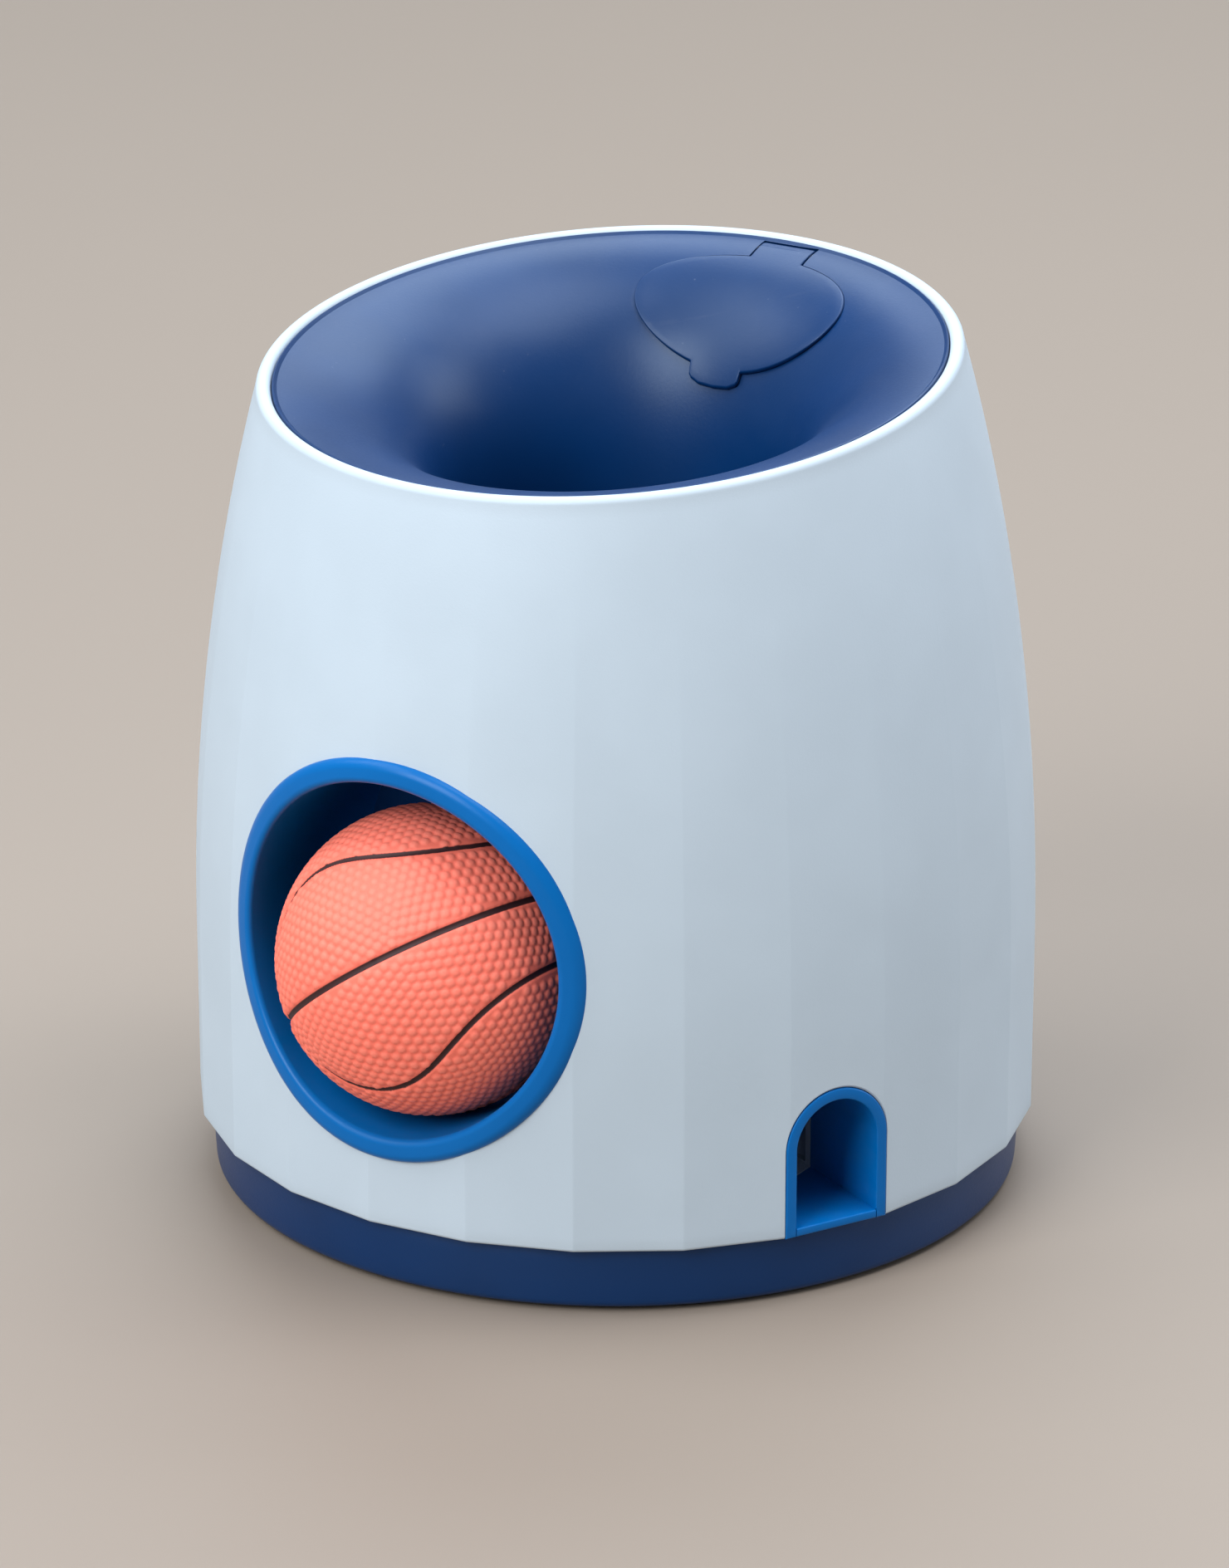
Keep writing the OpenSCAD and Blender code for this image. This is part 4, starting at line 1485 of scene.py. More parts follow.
@dataclass
class FillLid:
    """Oval lid with a finger tab and a hinge tongue, let into the bowl at its hinge.

    Attributes:
        plane: Plane of the lid.
        across: Half width of the oval.
        along: Half height of the oval.
        low: Gap under the lid.
        thick: Thickness of the lid.
        tab: Half width of the finger tab.
        tongue: Half width of the tongue.
        overhang: Reach of the tongue past the pin.
        corner: Bevel of the tongue's corners and of the knuckle's ends.
        depth: Depth of the hinge side in the bowl.
        knuckle: Radius of the knuckle.
        soft: Rounding of the upper edge.
        low_soft: Bevel of the lower edge.
        rows: Rings of the mesh from the middle to the edge.
        first_ring: Share of the outline's reach at which the innermost ring lies.
        spread: Evenly spread points of the outline.
        roll_steps: Points round the knuckle.
        gap: Gap round the lid in its recess.
        side_gap: Gap at each side of the tongue in the recess.
        under_gap: Gap under the lid in the recess.
        recess_top: Height of the recess's tool.
    """

    plane: LidPlane
    across: float = 23.8
    along: float = 13.6
    low: float = 0.35
    thick: float = 0.9
    tab: float = 5.7
    tongue: float = 6.0
    overhang: float = 1.75
    corner: float = 0.3
    depth: float = 1.1
    knuckle: float = 1.35
    soft: float = 0.4
    low_soft: float = 0.1
    rows: int = 14
    first_ring: float = 0.08
    spread: int = 480
    roll_steps: int = 48
    gap: float = 0.06
    side_gap: float = 0.42
    under_gap: float = 0.2
    recess_top: float = 5.0

    def tab_line(self) -> Line:
        """Draws the finger tab from left to right.

        Returns:
            Place across and uphill of each corner.
        """
        right = [(self.tab + 0.4, 2.0), (self.tab, -1.6), (self.tab - 0.5, -2.2), (self.tab * 0.6, -2.9)]
        line = [(-x, y) for x, y in right] + [(0.0, -3.1)] + right[::-1]
        return [(x - self.plane.middle_x, y - self.along) for x, y in line]

    def tongue_line(self, side: float) -> Line:
        """Draws the tongue from right to left.

        Args:
            side: Gap at each side.

        Returns:
            Place across and uphill of each corner.
        """
        middle, uphill, _ = self.plane.axes()
        end = float((np.array(self.plane.pin) - middle) @ uphill) + self.overhang
        shift = self.plane.pin[0] - self.plane.middle_x
        half = self.tongue + side
        right = [(half, 0.0), (half, end - self.corner), (half - self.corner, end)]
        return [(x + shift, y) for x, y in right + [(-x, y) for x, y in right[::-1]]]

    def reach(self, t: Array, grow: float, side: float) -> Array:
        """Gives the outline's distance from the middle in each direction.

        Args:
            t: Directions in radians.
            grow: Growth of the whole outline.
            side: Gap at each side of the tongue.

        Returns:
            The distances.
        """
        c, s = np.cos(t), np.sin(t)
        far = 1.0 / np.hypot(c / self.across, s / self.along)
        for shape in (self.tab_line(), self.tongue_line(side)):
            for (x0, y0), (x1, y1) in zip(shape[:-1], shape[1:]):
                ex, ey = x1 - x0, y1 - y0
                det = c * ey - s * ex
                safe = np.where(np.abs(det) < 1e-9, 1.0, det)
                dist = (x0 * ey - y0 * ex) / safe
                place = (x0 * s - y0 * c) / safe
                hit = (np.abs(det) > 1e-9) & (dist > 0) & (place >= -1e-6) & (place <= 1.0 + 1e-6)
                far = np.where(hit, np.maximum(far, dist), far)
        return far + grow

    def directions(self, side: float) -> Array:
        """Gives the directions of the outline's points, denser at its corners.

        Args:
            side: Gap at each side of the tongue.

        Returns:
            The directions in radians.
        """
        line = self.tab_line()[1:-1] + self.tongue_line(side)[1:-1]
        corners = np.array([math.atan2(y, x) for x, y in line])
        beside = np.array([0.12, 0.3, 0.6, 1.0, 1.6, 2.4])
        near = np.radians(np.concatenate([-beside[::-1], [0.0], beside]))
        bunched = (corners[:, None] + near[None, :]).ravel()
        spread = np.linspace(-math.pi, math.pi, self.spread, endpoint=False)
        return np.unique(np.round(np.concatenate([spread, bunched]), 5))

    def ring(self, t: Array, r: Array, lift: float) -> Array:
        """Gives a ring of points on the bowl, lower towards the hinge.

        Args:
            t: Directions in radians.
            r: Distances from the middle.
            lift: Distance from the bowl at the finger tab.

        Returns:
            The points.
        """
        u, v = r * np.cos(t), r * np.sin(t)
        share = np.clip((v + self.along) / (2.0 * self.along), 0.0, 1.0)
        return self.plane.drape(u, v, lift - self.depth * share)

    def closed(self, t: Array, steps: Sequence[tuple[Array, float]]) -> tuple[Array, Faces]:
        """Closes a skin over rings that run from the upper middle to the lower one.

        Args:
            t: Directions in radians.
            steps: Distances from the middle and the lift of each ring.

        Returns:
            The points and the faces.
        """
        rings = [self.ring(t, r, lift) for r, lift in steps]
        poles = [self.ring(np.zeros(1), np.zeros(1), steps[k][1]) for k in (0, -1)]
        return np.concatenate(rings + poles), capped_faces(len(rings), len(t))

    def recess(self) -> bpy.types.Object:
        """Makes the tool that lets the lid into the bowl at its hinge.

        Returns:
            The new object.
        """
        t = self.directions(self.side_gap)
        far = self.reach(t, self.gap, self.side_gap)
        inner = np.linspace(self.first_ring, 1.0, self.rows)
        steps = [(far * k, self.recess_top) for k in inner]
        steps += [(far * k, self.low - self.under_gap) for k in inner[::-1]]
        return make_piece("lid_recess", *self.closed(t, steps))

    def build(self) -> bpy.types.Object:
        """Makes the lid in rings from its middle over the edge to the underside.

        Returns:
            The lid.
        """
        t = self.directions(0.0)
        far = self.reach(t, 0.0, 0.0)
        top, soft, low_soft = self.low + self.thick, self.soft, self.low_soft
        inner = np.linspace(self.first_ring, 1.0, self.rows)[:-1]
        steps = [((far - soft) * k, top) for k in inner] + [(far - soft, top)]
        for k in range(1, 6):
            turn = math.radians(90.0 * k / 5)
            steps.append((far - soft * (1.0 - math.sin(turn)), top - soft * (1.0 - math.cos(turn))))
        steps += [(far, self.low + low_soft), (far - low_soft, self.low)]
        steps += [((far - low_soft) * k, self.low) for k in inner[::-1]]
        points, faces = self.closed(t, steps)
        end, r, bevel = self.tongue, self.knuckle, self.corner
        roll, roll_faces = lathe([(0, -end), (r - bevel, -end), (r, bevel - end), (r, 0.0), (r, end - bevel),
                                  (r - bevel, end), (0, end)], self.roll_steps)
        faces += [tuple(k + len(points) for k in face) for face in roll_faces]
        roll = roll[:, [2, 0, 1]] + np.array(self.plane.pin)
        piece = make_piece("fill_lid_form", np.concatenate([points, roll]), faces)
        settle(piece, 40.0)
        return piece

    def dress(self, piece: bpy.types.Object, material: bpy.types.Material) -> None:
        """Gives the lid its material and its place."""
        show(piece, Body.LID, "navy_plastic", material, "fill_lid")


@dataclass
class BallPort:
    """Bright bead round the ball port and the tube behind it.

    Attributes:
        form: Form of the barrel.
        inner: Radius of the tube inside.
        outer: Radius of the tube outside.
        bead: Outer radius of the bead.
        outer_round: Width of the bead's outer rounding.
        inner_round: Width of the bead's inner rounding.
        rise: Rise of the bead over the barrel.
        sunk: Depth of the bead's foot in the barrel.
        under: Depth of the bead's underside below its foot.
        start: Depth in the barrel where the tube's outside starts.
        back: Place of the tube's end.
        steps: Points round the port.
        tube_rows: Rows of the mesh along the tube.
    """

    form: BarrelForm
    inner: float = 35.5
    outer: float = 38.0
    bead: float = 40.3
    outer_round: float = 1.9
    inner_round: float = 1.5
    rise: float = 1.3
    sunk: float = 0.35
    under: float = 0.15
    start: float = 1.6
    back: float = -36.0
    steps: int = 288
    tube_rows: int = 9

    def front(self, x: Array, z: Array) -> Array:
        """Gives the place of the barrel's front, its facets smoothed.

        Args:
            x: Places along X.
            z: Heights.

        Returns:
            The places along Y.
        """
        half = (1.0 - math.cos(math.radians(self.form.facet / 2.0))) / 2.0
        r = self.form.side_r(z) * (1.0 - self.form.fade(z) * half)
        return -np.sqrt(r ** 2 - x ** 2)

    def build(self) -> bpy.types.Object:
        """Makes the bead and the tube as rings.

        Returns:
            The port.
        """
        turn = full_turn(self.steps)
        line = [(self.outer, -self.start), (self.outer, -self.sunk - self.under)]
        arcs = ((self.bead - self.outer_round, self.outer_round, np.linspace(0.0, 90.0, 11)),
                (self.inner + self.inner_round, self.inner_round, np.linspace(90.0, 180.0, 13)))
        for middle, wide, angles in arcs:
            for t in np.radians(angles):
                line.append((middle + wide * math.cos(t), -self.sunk + (self.rise + self.sunk) * math.sin(t)))
        rings = []
        for r, lift in line:
            x, z = r * np.cos(turn), self.form.port_z + r * np.sin(turn)
            rings.append(np.stack([x, self.front(x, z) - lift, z], axis=1))
        mouth = rings[-1]
        for share in np.linspace(0.0, 1.0, self.tube_rows)[1:]:
            ring = mouth.copy()
            ring[:, 1] += (self.back - ring[:, 1]) * share
            rings.append(ring)
        x, z = self.outer * np.cos(turn), self.form.port_z + self.outer * np.sin(turn)
        rings.append(np.stack([x, np.full_like(x, self.back), z], axis=1))
        piece = make_piece("port_bead", np.concatenate(rings), grid_faces(len(rings), len(turn), True, True))
        settle(piece, 50.0)
        return piece

    def dress(self, piece: bpy.types.Object, material: bpy.types.Material) -> None:
        """Gives the port its material and its place."""
        show(piece, Body.HOUSING, "blue_plastic", material, "port_liner")


@dataclass
class TreatArch:
    """Bright arch frame of the outlet with its passage.

    Attributes:
        section: Section that the arch is drawn with.
        half: Half width of the frame.
        clear: Half width of the opening.
        low: Height of the frame's foot.
        sill: Height of the sill.
        top: Height of the frame's head.
        clear_top: Height of the opening's head.
        face: Distance of the frame's face from the axis.
        seat: Distance of the frame's back from the axis.
        passage: Half width of the passage outside.
        head_wall: Wall of the passage over the opening.
        inside: Place along X where the passage ends.
        edge: Rounding of the frame's outer edge.
        lip: Rounding of the opening's edge.
        line_half: Half width of the fine line beside the sill.
        line_off: Distance of that line from the opening's side.
        line_depth: Depth of that line.
    """

    section: ArchSection
    half: float = 11.4
    clear: float = 9.1
    low: float = 14.1
    sill: float = 15.8
    top: float = 43.2
    clear_top: float = 40.9
    face: float = 84.43
    seat: float = 81.73
    passage: float = 10.7
    head_wall: float = 1.6
    inside: float = 57.7
    edge: float = 0.35
    lip: float = 0.3
    line_half: float = 0.11
    line_off: float = 0.05
    line_depth: float = 0.4

    def back_depth(self, outline: Array) -> Array:
        """Returns the distances from the axis at which the passage ends."""
        t = math.radians(self.section.form.outlet)
        return (self.inside - outline[:, 0] * math.cos(t)) / math.sin(t)

    def build(self) -> bpy.types.Object:
        """Makes the frame, its rounded edges and its passage as rings.

        Returns:
            The arch.
        """
        draw, ring = self.section.outline, self.section.ring
        tube = draw(self.passage, self.low, self.clear_top + self.head_wall)
        hole = draw(self.clear, self.sill, self.clear_top)
        outer = draw(self.half, self.low, self.top)
        rings = [ring(tube, self.back_depth(tube)), ring(tube, self.seat), ring(outer, self.seat)]
        turns = [math.radians(30.0 * k) for k in range(4)]
        for turn in turns:
            inset = self.edge * (1.0 - math.cos(turn))
            line = draw(self.half - inset, self.low + inset, self.top - inset)
            rings.append(ring(line, self.face - self.edge * (1.0 - math.sin(turn))))
        for turn in turns:
            inset = self.lip * (1.0 - math.sin(turn))
            line = draw(self.clear + inset, self.sill - inset, self.clear_top + inset)
            rings.append(ring(line, self.face - self.lip * (1.0 - math.cos(turn))))
        rings.append(ring(hole, self.back_depth(hole)))
        piece = make_piece("treat_arch", np.concatenate(rings), grid_faces(len(rings), len(tube), True, True))
        for side in (-1.0, 1.0):
            cut(piece, self.join_line(side * (self.clear + self.line_off)))
        settle(piece, 40.0)
        return piece

    def join_line(self, side: float) -> bpy.types.Object:
        """Makes the tool for the fine line between a leg and the sill.

        Args:
            side: Sideways place of the line.

        Returns:
            The new object.
        """
        left, right = side - self.line_half, side + self.line_half
        low, high = self.low - 1.0, self.sill + 0.2
        rect = np.array([[left, low], [right, low], [right, high], [left, high]])
        depths = (self.face - self.line_depth, self.face + 1.0)
        return span("join_line", *(self.section.ring(rect, depth) for depth in depths))

    def dress(self, piece: bpy.types.Object, material: bpy.types.Material) -> None:
        """Gives the arch its material and its place."""
        show(piece, Body.HOUSING, "blue_plastic", material, "treat_spout")


@dataclass
class RubberBall:
    """Rubber ball with raised pimples and sunken seams.

    Attributes:
        BEND: Angle in radians that evens out the lattice on the ball.
        radius: Radius over the pimples.
        middle: Middle of the ball.
        rows: Pimples along an edge of the lattice.
        fine: Mesh steps between pimples.
        rise: Height of a pimple.
        pimple_r: Radius of a pimple.
        groove: Depth of a seam.
        seam_half: Half width of a seam.
        seam_ease: Width over which a seam's edge falls.
        bare: Width without pimples beside a seam.
        belt: Normal of the middle seam.
        waist: Direction where the curved seam is narrowest.
        curve: Weights of the curved seam's waves.
    """

    BEND = 0.8361529520158911
    radius: float = 30.4
    middle: Point = (0.0, -66.9, 63.7)
    rows: int = 17
    fine: int = 6
    rise: float = 0.34
    pimple_r: float = 0.98
    groove: float = 0.45
    seam_half: float = SEAM_HALF
    seam_ease: float = 0.15
    bare: float = 0.75
    belt: Point = (-0.5816, 0.1691, 0.7957)
    waist: Point = (0.7864, 0.3668, 0.4969)
    curve: tuple[float, float, float] = (0.3863, 0.4061, 0.0398)

    def lattice(self, steps: int) -> tuple[Array, Array]:
        """Makes an even triangle lattice on the unit ball.

        Args:
            steps: Steps along an edge of the twenty-sided start.

        Returns:
            The points and the triangles.
        """
        form = bmesh.new()
        bmesh.ops.create_icosphere(form, subdivisions=1, radius=1.0)
        form.verts.ensure_lookup_table()
        corners = np.array([corner.co[:] for corner in form.verts])
        sides = [[corner.index for corner in face.verts] for face in form.faces]
        form.free()
        corners /= np.linalg.norm(corners, axis=1)[:, None]
        index = {}
        local = []
        for i in range(steps + 1):
            for j in range(steps + 1 - i):
                index[(i, j)] = len(local)
                local.append((1.0 - (i + j) / steps, i / steps, j / steps))
        share = np.sin(np.array(local) * self.BEND)
        cells = []
        for i in range(steps):
            for j in range(steps - i):
                cells.append((index[(i, j)], index[(i + 1, j)], index[(i, j + 1)]))
                if i + j < steps - 1:
                    cells.append((index[(i + 1, j)], index[(i + 1, j + 1)], index[(i, j + 1)]))
        points = np.concatenate([share @ corners[side] for side in sides])
        points /= np.linalg.norm(points, axis=1)[:, None]
        cells_all = np.concatenate([np.array(cells) + k * len(local) for k in range(len(sides))])
        _, first, back = np.unique(np.round(points, 5), axis=0, return_index=True, return_inverse=True)
        return points[first], back.ravel()[cells_all]

    def seams(self) -> Array:
        """Draws the seams on the unit ball: two rings and the curved seam.

        Returns:
            Points along the seams.
        """
        belt, waist = np.array(self.belt), np.array(self.waist)
        along = np.cross(belt, waist)
        t = full_turn(1600)
        b, c, h = self.curve
        x = (1.0 - b) * np.cos(t) + b * np.cos(3 * t) + h * np.cos(5 * t)
        y = (1.0 - b) * np.sin(t) - b * np.sin(3 * t) + h * np.sin(5 * t)
        bend = (np.outer((x + y) / math.sqrt(2.0), belt) + np.outer((x - y) / math.sqrt(2.0), along)
                + np.outer(c * np.sin(2 * t), waist))
        bend /= np.linalg.norm(bend, axis=1)[:, None]
        ring = np.outer(np.cos(t), waist) + np.outer(np.sin(t), along)
        upright = np.outer(np.cos(t), waist) + np.outer(np.sin(t), belt)
        return np.concatenate([bend, ring, upright])

    @staticmethod
    def nearest(points: Array, others: Array) -> Array:
        """Measures from each point to the nearest of the others.

        Args:
            points: The points.
            others: The others.

        Returns:
            The distances.
        """
        tree = KDTree(len(others))
        for k, other in enumerate(others):
            tree.insert(other, k)
        tree.balance()
        return np.array([tree.find(point)[2] for point in points])

    def build(self) -> bpy.types.Object:
        """Makes the ball and keeps each point's seam gap and pimple height.

        Returns:
            The ball.
        """
        points, cells = self.lattice(self.rows * self.fine)
        dots, _ = self.lattice(self.rows)
        seams = self.seams()
        gap = self.nearest(points, seams) * self.radius
        dot_gap = self.nearest(dots, seams) * self.radius
        dots = dots[dot_gap > self.seam_half + self.bare]
        off = self.nearest(points, dots) * self.radius
        dome = np.sqrt(np.clip(1.0 - (off / self.pimple_r) ** 2, 0.0, 1.0))
        dip = np.clip(1.0 - (gap / (self.seam_half + self.seam_ease)) ** 2, 0.0, 1.0) ** 0.5
        r = self.radius - self.rise + self.rise * dome - self.groove * dip
        piece = make_piece("rubber_ball", points * r[:, None] + np.array(self.middle),
                           [tuple(cell) for cell in cells.tolist()])
        # The pimple height is kept for the painted highlight on the pimples' tops in the ball's material.
        for name, values in (("seam_gap", gap), ("pimple", dome)):
            layer = piece.data.attributes.new(name, "FLOAT", "POINT")
            layer.data.foreach_set("value", values.astype(np.float32))
        return piece

    def dress(self, piece: bpy.types.Object, material: bpy.types.Material) -> None:
        """Gives the ball its material and its place."""
        show(piece, Body.BALL, "ball_rubber", material, "ball")


@dataclass
class Mechanism:
    """Trough, bin, channel, drum, paddle and shaft, kept as packed, with their finishes.

    Attributes:
        finishes: Name of the finish of each node.
        feet: Screw places on the trough's feet.
        slide_feet: Screw places on the channel's feet.
        foot_z: Height of the heads on the feet.
        foot_screw: Length of the screws in the feet.
        bin_heads: Heads of the bin's screws.
        bin_screw: Length of the bin's screws.
    """

    finishes: dict[str, str] = field(default_factory=lambda: {
        "lid_pin": "steel", "ball_chute": "trough", "treat_hopper": "inner", "treat_slide": "inner",
        "bush_left": "bush", "bush_right": "bush", "trigger_shaft": "steel", "clip_left": "steel",
        "clip_right": "steel", "trigger_paddle": "lever", "counterweight": "steel", "metering_drum": "drum"})
    feet: tuple[tuple[float, float], ...] = ((-30.0, -24.0), (-30.0, 24.0), (30.0, -24.0), (30.0, 24.0))
    slide_feet: tuple[tuple[float, float], ...] = ((37.4, -35.97), (49.0, 31.0))
    foot_z: float = 19.0
    foot_screw: float = 9.0
    bin_heads: tuple[Point, ...] = ((-22.0, 40.7, 103.0), (22.0, 40.7, 103.0))
    bin_screw: float = 7.0

    def dress(self, materials: dict[str, bpy.types.Material]) -> None:
        """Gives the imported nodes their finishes.

        Args:
            materials: The materials by the name of their finish.
        """
        for name, finish in self.finishes.items():
            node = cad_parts[name]
            node.data.materials.clear()
            node.data.materials.append(materials[finish])

    def screws(self) -> list[ScrewSet]:
        """Lists the screws of the trough, the channel and the bin.

        Returns:
            The three sets.
        """
        down, forward = (0.0, 0.0, -1.0), (0.0, -1.0, 0.0)
        trough, channel = ([(x, y, self.foot_z) for x, y in feet] for feet in (self.feet, self.slide_feet))
        return [
            ScrewSet("trough_screw_set", "chute_screws", self.foot_screw, trough, down),
            ScrewSet("channel_screw_set", "slide_screws", self.foot_screw, channel, down),
            ScrewSet("bin_screw_set", "hopper_screws", self.bin_screw, self.bin_heads, forward),
        ]


@dataclass(frozen=True)
class SoftLight:
    """Rectangular soft light that looks at the toy.

    Attributes:
        name: Name of the light.
        turn: Angle round the toy in degrees, from the front towards +X.
        height: Angle above the floor in degrees.
        reach: Distance in metres.
        size: Width and height in metres.
        power: Power in watts.
        colour: Linear colour.
    """

    name: str
    turn: float
    height: float
    reach: float
    size: tuple[float, float]
    power: float
    colour: Colour

    def place(self, aim: Vector) -> None:
        """Makes the light.

        Args:
            aim: Point that it looks at.
        """
        data = bpy.data.lights.new(self.name, "AREA")
        data.shape = "RECTANGLE"
        data.size, data.size_y = self.size
        data.energy = self.power
        data.color = self.colour
        lamp = add_object(self.name, data)
        away = outward(self.turn, self.height)
        lamp.location = aim + away * self.reach
        lamp.rotation_euler = away.to_track_quat("Z", "Y").to_euler()


@dataclass
class Studio:
    """Pale floor, soft lights and the camera at the photograph's angle.

    Attributes:
        turn: Camera's angle round the toy in degrees.
        height: Camera's angle above the floor in degrees.
        reach: Camera's distance in millimetres.
        aim_z: Height that the camera looks at.
        shift: Sideways and upward correction of the aim in millimetres.
        lens: Focal length in millimetres.
        sensor: Width of the camera's sensor in millimetres.
        clip: Nearest and farthest distance that the camera sees in metres.
        light_aim: Height in metres that the lights look at.
        even_colour: Linear colour of the even light all round.
        even: Strength of the even light.
        floor_colour: Linear colour of the floor.
        floor_dark: Share of the colour in the floor's darker patches.
        floor_cells: Cells in a metre of those patches.
        floor_rough: Roughness of the floor.
        floor_half: Half width of the floor.
        floor_gap: Gap under the toy, so that the sole and the floor don't share a plane.
        floor_cols: Points across the floor.
        lights: The soft lights.
    """

    turn: float = 32.26
    height: float = 20.33
    reach: float = 1334.07
    aim_z: float = 78.04
    shift: tuple[float, float] = (-0.28, 0.75)
    lens: float = 152.54
    sensor: float = 36.0
    clip: tuple[float, float] = (0.05, 50.0)
    light_aim: float = 0.08
    even_colour: Colour = (0.86, 0.92, 1.0)
    even: float = 0.32
    floor_colour: Colour = (0.26, 0.217, 0.178)
    floor_dark: float = 0.97
    floor_cells: float = 6.0
    floor_rough: float = 0.6
    floor_half: float = 6000.0
    floor_gap: float = 0.05
    floor_cols: int = 9
    lights: tuple[SoftLight, ...] = (
        SoftLight("key", -8.0, 34.0, 2.6, (1.4, 1.4), 56.0, (1.0, 1.0, 1.0)),
        SoftLight("left", -62.0, 50.0, 2.4, (1.4, 1.4), 24.0, (0.93, 0.96, 1.0)),
        SoftLight("sky", 98.0, 77.0, 2.3, (1.6, 1.6), 42.0, (0.94, 0.95, 1.0)),
        SoftLight("back", 205.0, 50.0, 2.2, (1.8, 1.2), 32.0, (0.78, 0.89, 1.0)),
        SoftLight("side", 140.0, 38.0, 2.2, (1.0, 1.0), 11.0, (0.95, 0.97, 1.0)),
        SoftLight("low_side", 125.0, 12.0, 2.2, (1.0, 0.6), 10.0, (0.95, 0.97, 1.0)),
    )

    def floor(self) -> None:
        """Makes the wide pale floor with a softly curved rise far behind."""
        depth = np.array([-6000.0, -2000.0, 0.0, 2000.0, 5000.0, 5600.0, 6000.0, 6200.0])
        rise = np.array([0.0, 0.0, 0.0, 0.0, 0.0, 120.0, 500.0, 1200.0]) - self.floor_gap
        wide = np.linspace(-self.floor_half, self.floor_half, self.floor_cols)
        parts = np.broadcast_arrays(wide[None, :], depth[:, None], rise[:, None])
        points = np.stack(parts, axis=2).reshape(-1, 3) * MM
        mesh = bpy.data.meshes.new("floor")
        mesh.from_pydata(points.tolist(), [], grid_faces(len(depth), len(wide), False, False))
        floor = add_object("floor", mesh)
        material, tree, shader = new_material("floor_finish")
        dark = tuple(part * self.floor_dark for part in self.floor_colour)
        patches = tree.noise(self.floor_cells, 3.0)
        tree.join(tree.blend(patches, dark, self.floor_colour), shader.inputs["Base Color"])
        shader.inputs["Roughness"].default_value = self.floor_rough
        mesh.materials.append(material)
        floor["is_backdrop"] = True

    def camera(self) -> None:
        """Makes the camera."""
        t = math.radians(self.turn)
        back = outward(self.turn, self.height)
        right = Vector((math.cos(t), math.sin(t), 0.0))
        up = back.cross(right)
        aim = Vector((0.0, 0.0, self.aim_z)) + right * self.shift[0] + up * self.shift[1]
        data = bpy.data.cameras.new("camera")
        data.sensor_width = self.sensor
        data.lens = self.lens
        data.clip_start, data.clip_end = self.clip
        camera = add_object("camera", data)
        place = Matrix((right, up, back)).transposed().to_4x4()
        place.translation = (aim + back * self.reach) * MM
        camera.matrix_world = place
        bpy.context.scene.camera = camera

    def light(self) -> None:
        """Makes the soft lights and the even light all round."""
        for lamp in self.lights:
            lamp.place(Vector((0.0, 0.0, self.light_aim)))
        world = bpy.context.scene.world or bpy.data.worlds.new("world")
        bpy.context.scene.world = world
        world.use_nodes = True
        even = world.node_tree.nodes["Background"]
        even.inputs["Color"].default_value = (*self.even_colour, 1.0)
        even.inputs["Strength"].default_value = self.even

    def build(self) -> None:
        """Makes the floor, the camera and the light, and keeps the plain colours of the display."""
        self.floor()
        self.camera()
        self.light()
        bpy.context.scene.view_settings.view_transform = "Standard"


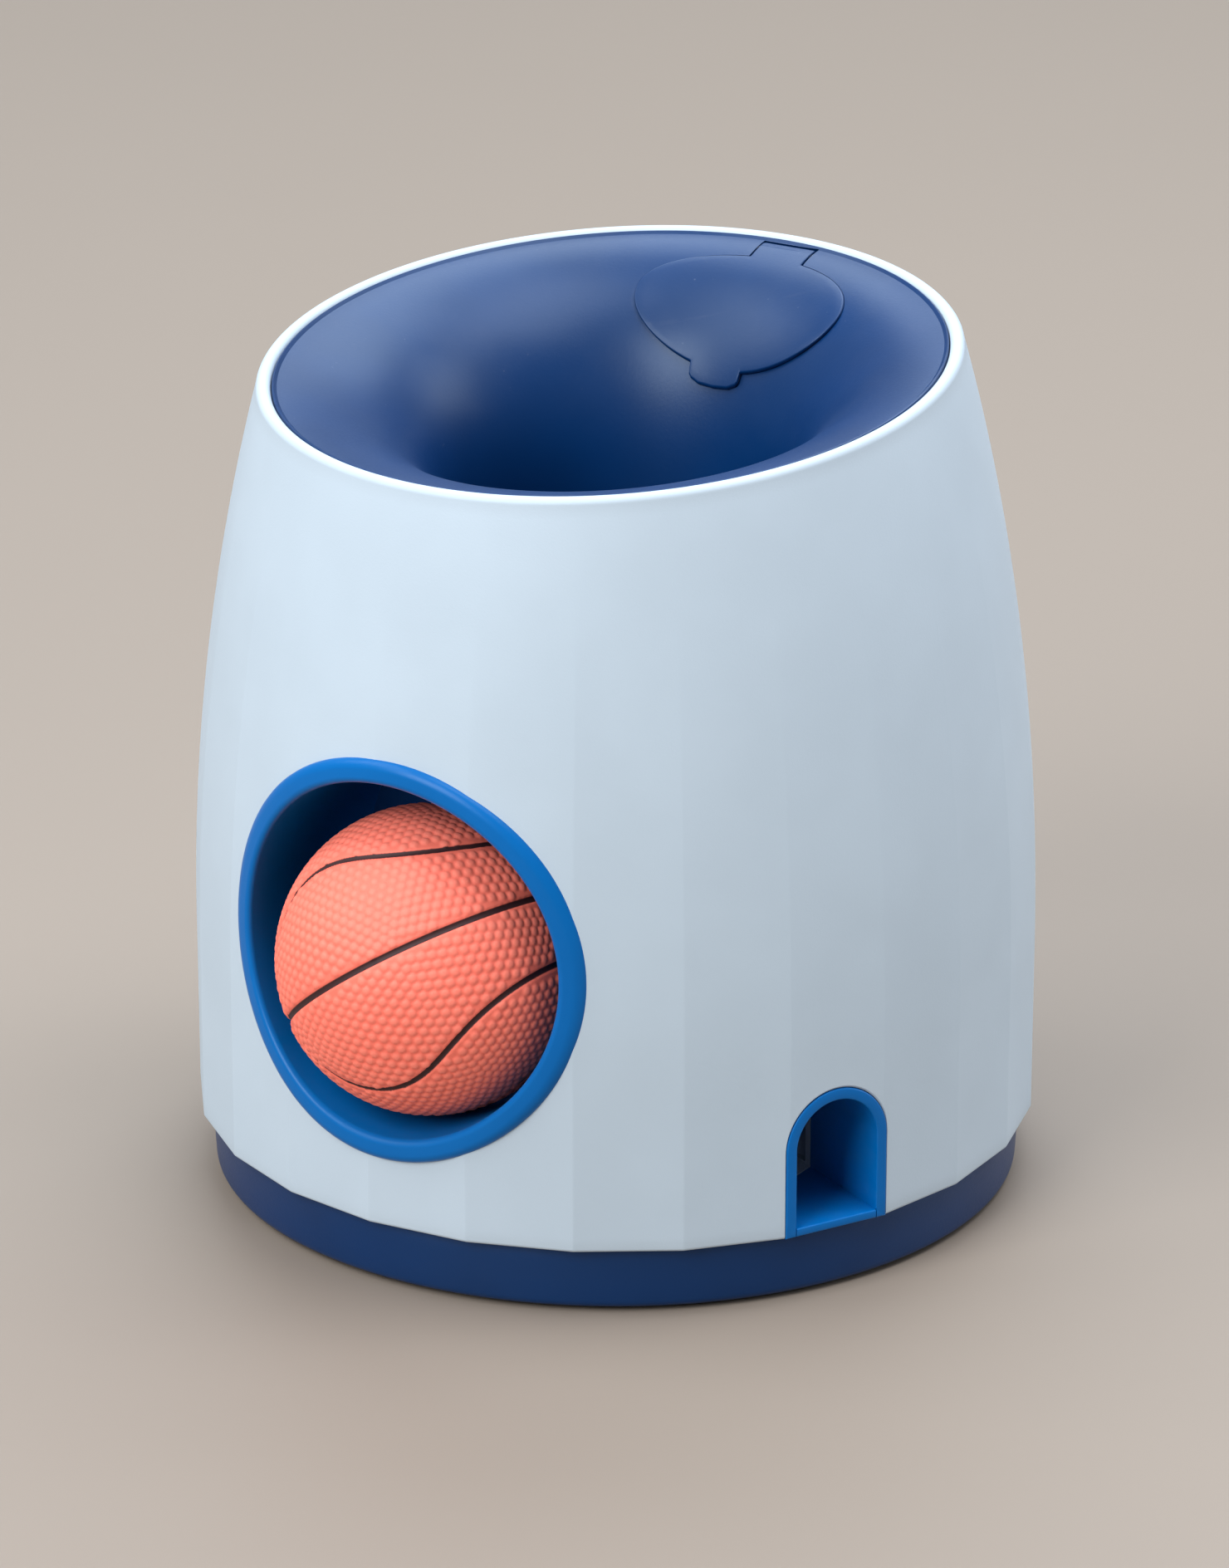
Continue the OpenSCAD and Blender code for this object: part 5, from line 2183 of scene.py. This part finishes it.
FINISHES: dict[str, Plastic | Steel | BallRubber] = {
    "shell": Plastic("shell_finish", srgb(184, 199, 211), roughness=0.5, spread=0.1, grain=2200.0,
                     depth=0.022, tone=0.02, dust=0.05, rub=0.2, specular=0.4),
    "navy": Plastic("navy_finish", srgb(0, 44, 92), roughness=0.38, spread=0.1, grain=1600.0,
                    depth=0.02, tone=0.06, dust=0.16, rub=0.06, specular=0.4),
    "blue": Plastic("blue_finish", srgb(0, 98, 170), roughness=0.32, spread=0.08, grain=1500.0,
                    depth=0.012, tone=0.04, dust=0.05, rub=0.05, specular=0.22),
    "trough": Plastic("trough_finish", srgb(4, 60, 112), roughness=0.5, spread=0.1, grain=1500.0,
                      depth=0.02, tone=0.06, dust=0.1, rub=0.06, specular=0.3),
    "inner": Plastic("inner_finish", srgb(176, 184, 192), roughness=0.55, spread=0.1, grain=1500.0,
                     depth=0.02, tone=0.05, dust=0.12, rub=0.1, specular=0.4),
    "bush": Plastic("bush_finish", srgb(236, 233, 224), roughness=0.4, spread=0.06, grain=1500.0,
                    depth=0.01, tone=0.03, dust=0.05, rub=0.05, specular=0.5),
    "lever": Plastic("lever_finish", srgb(6, 48, 94), roughness=0.48, spread=0.08, grain=1500.0,
                     depth=0.02, tone=0.06, dust=0.1, rub=0.06, specular=0.3),
    "drum": Plastic("drum_finish", srgb(232, 150, 48), roughness=0.45, spread=0.08, grain=1500.0,
                    depth=0.02, tone=0.05, dust=0.1, rub=0.1, specular=0.5),
    "sole": Plastic("sole_finish", srgb(38, 42, 52), roughness=0.8, spread=0.1, grain=900.0,
                    depth=0.06, tone=0.08, dust=0.3, rub=0.1, specular=0.3),
    "steel": Steel("steel_finish", (0.55, 0.56, 0.58), roughness=0.32),
    # The ball's second colour is the painted highlight on its pimples' tops.
    "ball": BallRubber("ball_finish", srgb(246, 118, 98), srgb(250, 132, 112), srgb(52, 26, 28)),
}


def main() -> None:
    """Builds and dresses every piece and the studio, and logs the faces of each shown piece."""
    logging.basicConfig(level=logging.INFO, format="%(name)s: %(message)s")
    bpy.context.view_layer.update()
    effects = Effects()
    materials = {name: finish.material(effects) for name, finish in FINISHES.items()}
    form = BarrelForm()
    plane = LidPlane(form)
    barrel, base, bowl = Barrel(form), BaseUnit(form), FeedBowl(form, plane)
    lid, port, arch, ball = FillLid(plane), BallPort(form), TreatArch(ArchSection(form)), RubberBall()
    barrel.dress(barrel.build(), materials["shell"])
    base.dress(base.pan(), base.sole(), materials["navy"], materials["sole"])
    bowl.dress(bowl.build(lid.recess()), materials["navy"])
    lid.dress(lid.build(), materials["navy"])
    port.dress(port.build(), materials["blue"])
    arch.dress(arch.build(), materials["blue"])
    ball.dress(ball.build(), materials["ball"])
    inside = Mechanism()
    inside.dress(materials)
    for screws in [base.screws(), *inside.screws()]:
        screws.dress(screws.build(), materials["steel"])
    Studio().build()
    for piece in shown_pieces():
        LOG.info("%s: %d faces", piece.name, len(piece.data.polygons))


if __name__ == "__main__":
    main()
